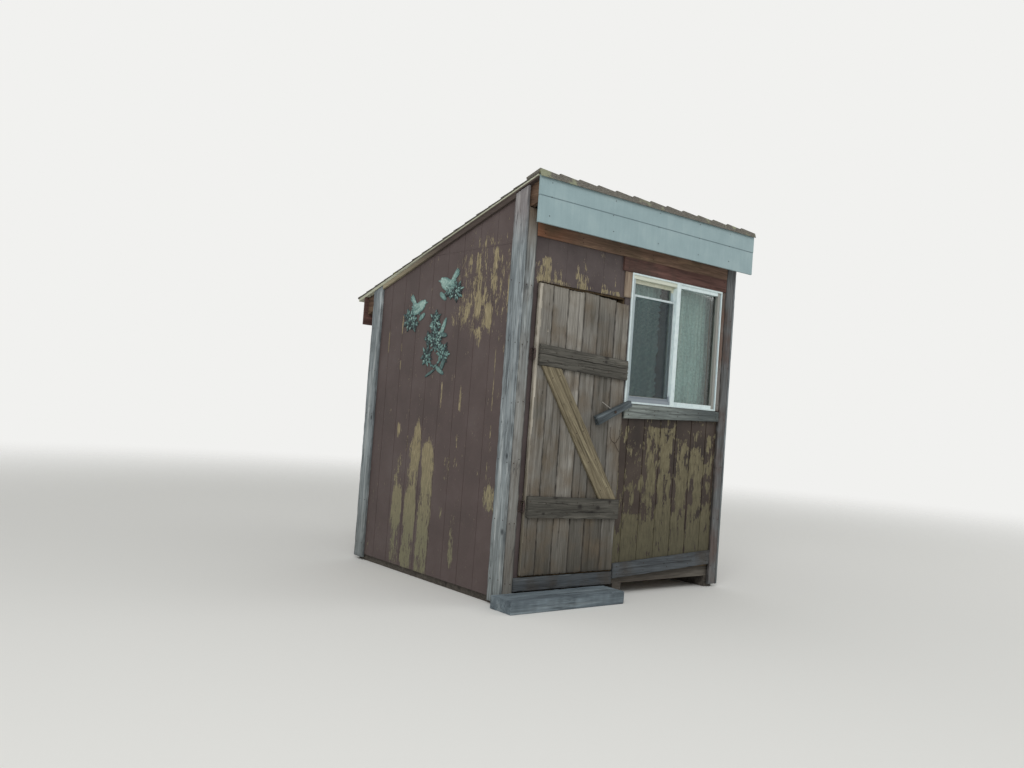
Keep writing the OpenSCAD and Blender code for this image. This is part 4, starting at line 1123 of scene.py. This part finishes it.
def addSpray(leaf, pieces, at, u, v, count, long, turn, chance, mirror=False):
    # a dark backing, then each arm has a tip leaf with two pairs of leaflets, round a small flower
    addLeaf(leaf, pieces, at, u, v, turn, long * 1.25, long * 1.2, -0.9, 3, mirror)
    for arm in range(count):
        angle = turn + arm * 360 / count + chance.uniform(-8, 8)
        reach = math.radians(angle)
        for along, side, share, off in plaqueSettings["leaflets"]:
            addLeaf(
                leaf, pieces, at,
                u + long * (along * math.cos(reach) - off * math.sin(reach)),
                v + long * (along * math.sin(reach) + off * math.cos(reach)),
                angle + side + chance.uniform(-14, 14), long * share * chance.uniform(0.85, 1.15),
                long * 0.17, chance.uniform(-0.6, 0.5), chance.uniform(8, 14), mirror,
            )
    flower = plaqueSettings["flower"]
    for petal in range(flower["petals"]):
        angle = petal * 360 / flower["petals"] + turn
        reach = math.radians(angle)
        addLeaf(
            leaf, pieces, at, u + flower["reach"] * math.cos(reach), v + flower["reach"] * math.sin(reach),
            angle, flower["long"], flower["wide"], chance.uniform(0, 0.4), flower["high"], mirror,
        )


def addBird(leaf, pieces, settings, chance):
    at, scale, mirror = settings["at"], settings["scale"], settings["mirror"]
    for u, v, angle, long, wide, high, tone in plaqueSettings["bird"]:
        u, v, long, wide = (length * scale for length in (u, v, long, wide))
        addLeaf(leaf, pieces, at, u, v, angle, long, wide, tone, high * plaqueSettings["birdRelief"], mirror)
    for u, v, count, long, turn in settings["sprays"]:
        addSpray(leaf, pieces, at, u, v, count, long, turn, chance, mirror)


def buildPlaques(settings):
    chance = random.Random(5)
    leaf = shapeLeaf()
    pieces = []
    for name in ("upperBird", "lowerBird"):
        addBird(leaf, pieces, settings[name], chance)
    vine = settings["vine"]
    for u, v, count, long, turn in vine["sprays"]:
        addSpray(leaf, pieces, vine["at"], u, v, count, long, turn, chance)
    for u, v, angle, long, wide in vine["leaves"]:
        addLeaf(leaf, pieces, vine["at"], u, v, angle, long, wide, chance.uniform(-0.1, 0.4), 9)
    u, v, radius, count = vine["loop"]
    for i in range(2 * count):
        angle = i * 180 / count
        reach = math.radians(angle)
        addLeaf(
            leaf, pieces, vine["at"],
            u + radius * 0.82 * math.cos(reach), v + radius * 0.86 * math.sin(reach),
            angle + 90 + (30 if i % 2 else -30), 44, 19, chance.uniform(-0.3, 0.3), 8,
        )
    bpy.data.objects.remove(leaf)
    relief = joinPieces(pieces, "plaqueRelief", "greenPatina")
    standFor(relief, "building", "green_metal", "wall_plaques")


print("plaques")
buildPlaques(plaqueSettings)


# Shingles: three-tab strips over the stepped layer, each tab a little lifted, worn and shifted
roofSettings = {
    "left": -25, "right": 2345, "front": -133, "back": 2242, "course": 140, "low": 5.5,
    "tab": 304, "slot": 9, "thick": 2.6, "over": 5, "narrowest": 12, "cuts": (9, 4, 0),
}


def shapeTab(settings):
    clearSelection()
    bpy.ops.mesh.primitive_cube_add(size=1)
    tab = bpy.context.object
    cutGrid(tab, settings["cuts"])
    for vertex in tab.data.vertices:
        vertex.co.z *= settings["thick"]
    return tab


def buildShingles(settings):
    chance = random.Random(12)
    template = shapeTab(settings)
    pieces = []
    length = settings["back"] - settings["front"]
    rows = int(length // settings["course"])
    start = settings["back"] - rows * settings["course"]
    for row in range(rows):
        y0 = start + row * settings["course"]
        shift = (row % 2) * settings["tab"] / 2 + chance.uniform(-6, 6)
        x = settings["left"] - shift
        while x < settings["right"]:
            x0, x1 = max(x, settings["left"]), min(x + settings["tab"] - settings["slot"], settings["right"])
            x += settings["tab"]
            if x1 - x0 < settings["narrowest"]:
                continue
            tab = copyPiece(template)
            lift, drop, seed = chance.uniform(0, 1.5), chance.uniform(-2, 3), chance.uniform(0, 99)
            for vertex in tab.data.vertices:
                u, v = vertex.co.x + 0.5, vertex.co.y + 0.5
                ragged = 2.2 * noiseAt(u * 9, v * 3, seed)
                px = x0 + (x1 - x0) * u + (ragged if u in (0, 1) else 0)
                py = y0 + (settings["course"] + settings["over"] + drop) * v + (ragged if v == 1 else 0)
                part = (py - y0) / settings["course"]
                rise = lift * max(0, v - 0.5) - settings["low"] * (1 - part)
                rise += 0.5 * noiseAt(u * 3, v * 2, seed)
                vertex.co = place(px, py, roofUnder(py, 0) + rise + settings["thick"] / 2 + vertex.co.z)
            storeOnPoints(tab, "tone", [chance.uniform(0, 1)] * len(tab.data.vertices))
            pieces.append(tab)
    bpy.data.objects.remove(template)
    standFor(joinPieces(pieces, "shingleTabs", "weatheredShingle"), "building", "roof_shingle")


print("shingles")
buildShingles(roofSettings)


# Nails: domed heads a little sunk in the wood, in rows where boards cross, in wall millimetres
nailSettings = {
    "radius": 4.2,
    "ledges": {"sides": ((-28, 40), (30, 108)), "inset": 22},
    "brace": {
        "foot": (913, 730), "head": (281, 1648), "shares": (0.08, 0.3, 0.52, 0.74, 0.93), "sides": (-32, 34),
    },
    "fascia": {
        "y": -133.4, "radius": 3.6,
        "across": (90, 700, 1180, 1650, 2020), "heights": (2928, 2895, 2790, 2665),
    },
    "corners": {
        "heights": (160, 2600, 410), "left": -19, "right": 2287, "front": -19, "lower": 0.88,
        "nearFront": (8, 92), "nearBack": (1868, 1950), "across": (24, 68, 2192, 2246),
    },
    # depth, places across, heights
    "rows": (
        (-16, (1010, 1320, 1650, 1960, 2140), (2465, 2520)), (-19, (160, 520, 900, 1260), (2570, 2600)),
        (-15, (2150,), (1500, 1800, 2100, 2380)),
    ),
    # depth, height at the board's start, the start, its slope, nails under and over the middle
    "sloping": ((-30, 1376, 1046, 0.028, (-14, 20)), (-19, 190, 1044, 0.052, (-28, 28))),
    "slopingAcross": (1090, 1380, 1650, 1900, 2120),
}


def shapeNail():
    clearSelection()
    bpy.ops.mesh.primitive_uv_sphere_add(segments=10, ring_count=6, radius=1)
    nail = bpy.context.object
    for vertex in nail.data.vertices:
        vertex.co.z *= 0.35
    bpy.ops.object.shade_smooth()
    return nail


def addNails(template, pieces, spots, axis="X", radius=nailSettings["radius"]):
    # the heads look to the front when turned about X, and to the side when turned about Y
    for spot in spots:
        nail = copyPiece(template)
        spin = Matrix.Rotation(math.radians(90), 3, axis)
        for vertex in nail.data.vertices:
            vertex.co = place(*spot) + spin @ (vertex.co * radius / 1000)
        pieces.append(nail)


def nailDoor(template, settings, chance):
    door = []
    for i in range(6):
        shares = doorSettings["shares"][i:i + 2]
        middle = doorSettings["left"] + doorSettings["width"] * sum(shares) / 2
        for row in ("upper", "lower"):
            one = ledgeSettings[row]
            for side, level in settings["ledges"]["sides"]:
                x = max(one["left"] + settings["ledges"]["inset"], middle + side + chance.uniform(-6, 6))
                drop = one["sag"] * (x - one["left"]) / (ledgeSettings["right"] - one["left"])
                z = one["top"] - drop - level + chance.uniform(-8, 8)
                addNails(template, door, [(x, ledgeSettings["face"], z)])
    brace = settings["brace"]
    for share in brace["shares"]:
        x, z = (foot + (head - foot) * share for foot, head in zip(brace["foot"], brace["head"]))
        y = ledgeSettings["face"]
        addNails(template, door, [(x + side, y, z + side * 0.3) for side in brace["sides"]])
    standFor(joinPieces(door, "doorNails", "rustySteel"), "door", "rusty_steel")


def nailTrim(template, settings, chance):
    trim = []
    fascia, corners = settings["fascia"], settings["corners"]
    for x in fascia["across"]:
        for z in fascia["heights"]:
            spot = (x + chance.uniform(-9, 9), fascia["y"], z + chance.uniform(-6, 6))
            addNails(template, trim, [spot], radius=fascia["radius"])
    for z in range(*corners["heights"]):
        for y in corners["nearFront"]:
            addNails(template, trim, [
                (corners["left"], y + chance.uniform(-7, 7), z + chance.uniform(-20, 20)),
                (corners["right"], y, z + chance.uniform(-20, 20)),
            ], "Y")
        front, low = corners["front"], z * corners["lower"]
        addNails(template, trim, [(x, front, z + chance.uniform(-20, 20)) for x in corners["across"]])
        for y in corners["nearBack"]:
            addNails(template, trim, [(corners[side], y, low) for side in ("left", "right")], "Y")
    for x in settings["slopingAcross"]:
        for depth, height, start, slope, sides in settings["sloping"]:
            addNails(template, trim, [(x, depth, height + (x - start) * slope + side) for side in sides])
    for depth, across, heights in settings["rows"]:
        addNails(template, trim, [(x, depth, z) for x in across for z in heights])
    standFor(joinPieces(trim, "trimNails", "rustySteel"), "building", "rusty_steel")


def buildNails(settings):
    chance = random.Random(21)
    template = shapeNail()
    nailDoor(template, settings, chance)
    nailTrim(template, settings, chance)
    bpy.data.objects.remove(template)


# The pull is thin wire bent by hand, with a loose tail, measured from the foot of the door's right edge
wireSettings = {
    "edge": 1028, "foot": 198, "face": -31.2, "thickness": 1.5, "wave": 1.6,
    "points": (
        (-118, 1062), (-117, 1022), (-114, 988), (-99, 966), (-82, 950), (-64, 947), (-50, 951),
        (-31, 974), (-13, 1001), (-14, 1026), (-20, 1046),
    ),
    "tail": ((-64, 947), (-50, 924), (-30, 902), (-14, 882)),
}


def buildWire(settings):
    pieces = []
    for name in ("points", "tail"):
        line = bpy.data.curves.new("wirePull", "CURVE")
        line.dimensions = "3D"
        line.bevel_depth = settings["thickness"] / 1000
        line.bevel_resolution = 3
        line.use_fill_caps = True
        path = line.splines.new("POLY")
        path.points.add(len(settings[name]) - 1)
        for point, (x, z) in zip(path.points, settings[name]):
            wave = settings["wave"] * noiseAt(x / 30, z / 30, 2)
            point.co = (*place(settings["edge"] + x, settings["face"] + wave, settings["foot"] + z), 1)
        wire = bpy.data.objects.new("wirePull", line)
        bpy.context.collection.objects.link(wire)
        clearSelection()
        wire.select_set(True)
        bpy.context.view_layer.objects.active = wire
        bpy.ops.object.convert(target="MESH")
        pieces.append(bpy.context.object)
    wire = joinPieces(pieces, "wirePull", "rustySteel")
    standFor(wire, "door", "rusty_steel", "wire_pull")


print("nails and wire")
buildNails(nailSettings)
buildWire(wireSettings)


# Worn edges on the parts that keep their shape, in millimetres
wornEdges = {
    2.0: ["window_frame", "sash_left", "screen_frame"],
    1.5: [
        "fascia_front", "frieze_boards", "header_board", "rake_laths", "fascia_back",
        "roof_deck", "rafters", "wall_posts", "wall_rails", "skids", "floor_joists", "floor_deck",
    ],
    1.0: ["siding_head", "siding_jamb", "siding_beside_window", "cap_row"],
}
for width, names in wornEdges.items():
    for name in names:
        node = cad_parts[name]
        weld = node.modifiers.new("weld", "WELD")
        weld.merge_threshold = 0.0001
        edges = node.modifiers.new("edges", "BEVEL")
        edges.width = width / 1000
        edges.segments = 2
        edges.limit_method = "ANGLE"
        edges.angle_limit = math.radians(50)


# Pale floor that fades into the pale surroundings, and soft light
stageSettings = {
    "floorSize": 60, "floorColour": "E9E9E6", "surroundings": "F1F1EF", "fade": (5, 16), "fill": 0.62,
    "lights": {"keyLight": (420, (-7, -7, 8)), "sideLight": (120, (8, -5, 6))},
    "lightSize": 6, "aim": (0, 0, 1.4),
}


def buildStage(settings):
    bpy.ops.mesh.primitive_plane_add(size=settings["floorSize"])
    floor = bpy.context.object
    floor.name = "floor"
    add, where = startTree("paleFloor")
    distance = add("VectorMath", [where], out="Value", operation="LENGTH")
    fade = add("MapRange", [distance, *settings["fade"]], interpolation_type="SMOOTHSTEP")
    cover = add("Math", [1.0, fade], operation="SUBTRACT")
    floor.data.materials.append(newMaterial("paleFloor", settings["floorColour"], 0.95, Alpha=cover))

    world = bpy.data.worlds.new("surroundings")
    world.use_nodes = True
    bpy.context.scene.world = world
    tree = world.node_tree
    add = partial(addNode, tree)
    seen = 0.0
    rays = add("LightPath").node.outputs
    for ray in ("Is Camera Ray", "Is Glossy Ray", "Is Transmission Ray"):
        seen = add("Math", [seen, rays[ray]], operation="MAXIMUM")
    background = tree.nodes["Background"].inputs
    setSocket(tree, background["Color"], settings["surroundings"])
    setSocket(tree, background["Strength"], add("MapRange", [seen, 0, 1, settings["fill"], 1.0]))

    for name, (power, spot) in settings["lights"].items():
        bpy.ops.object.light_add(type="AREA", location=spot)
        light = bpy.context.object
        light.name = name
        light.data.energy = power
        light.data.shape = "DISK"
        light.data.size = settings["lightSize"]
        light.rotation_euler = (Vector(settings["aim"]) - Vector(spot)).to_track_quat("-Z", "Y").to_euler()
    bpy.context.scene.view_settings.view_transform = "Standard"


print("floor and light")
clearSelection()
buildStage(stageSettings)
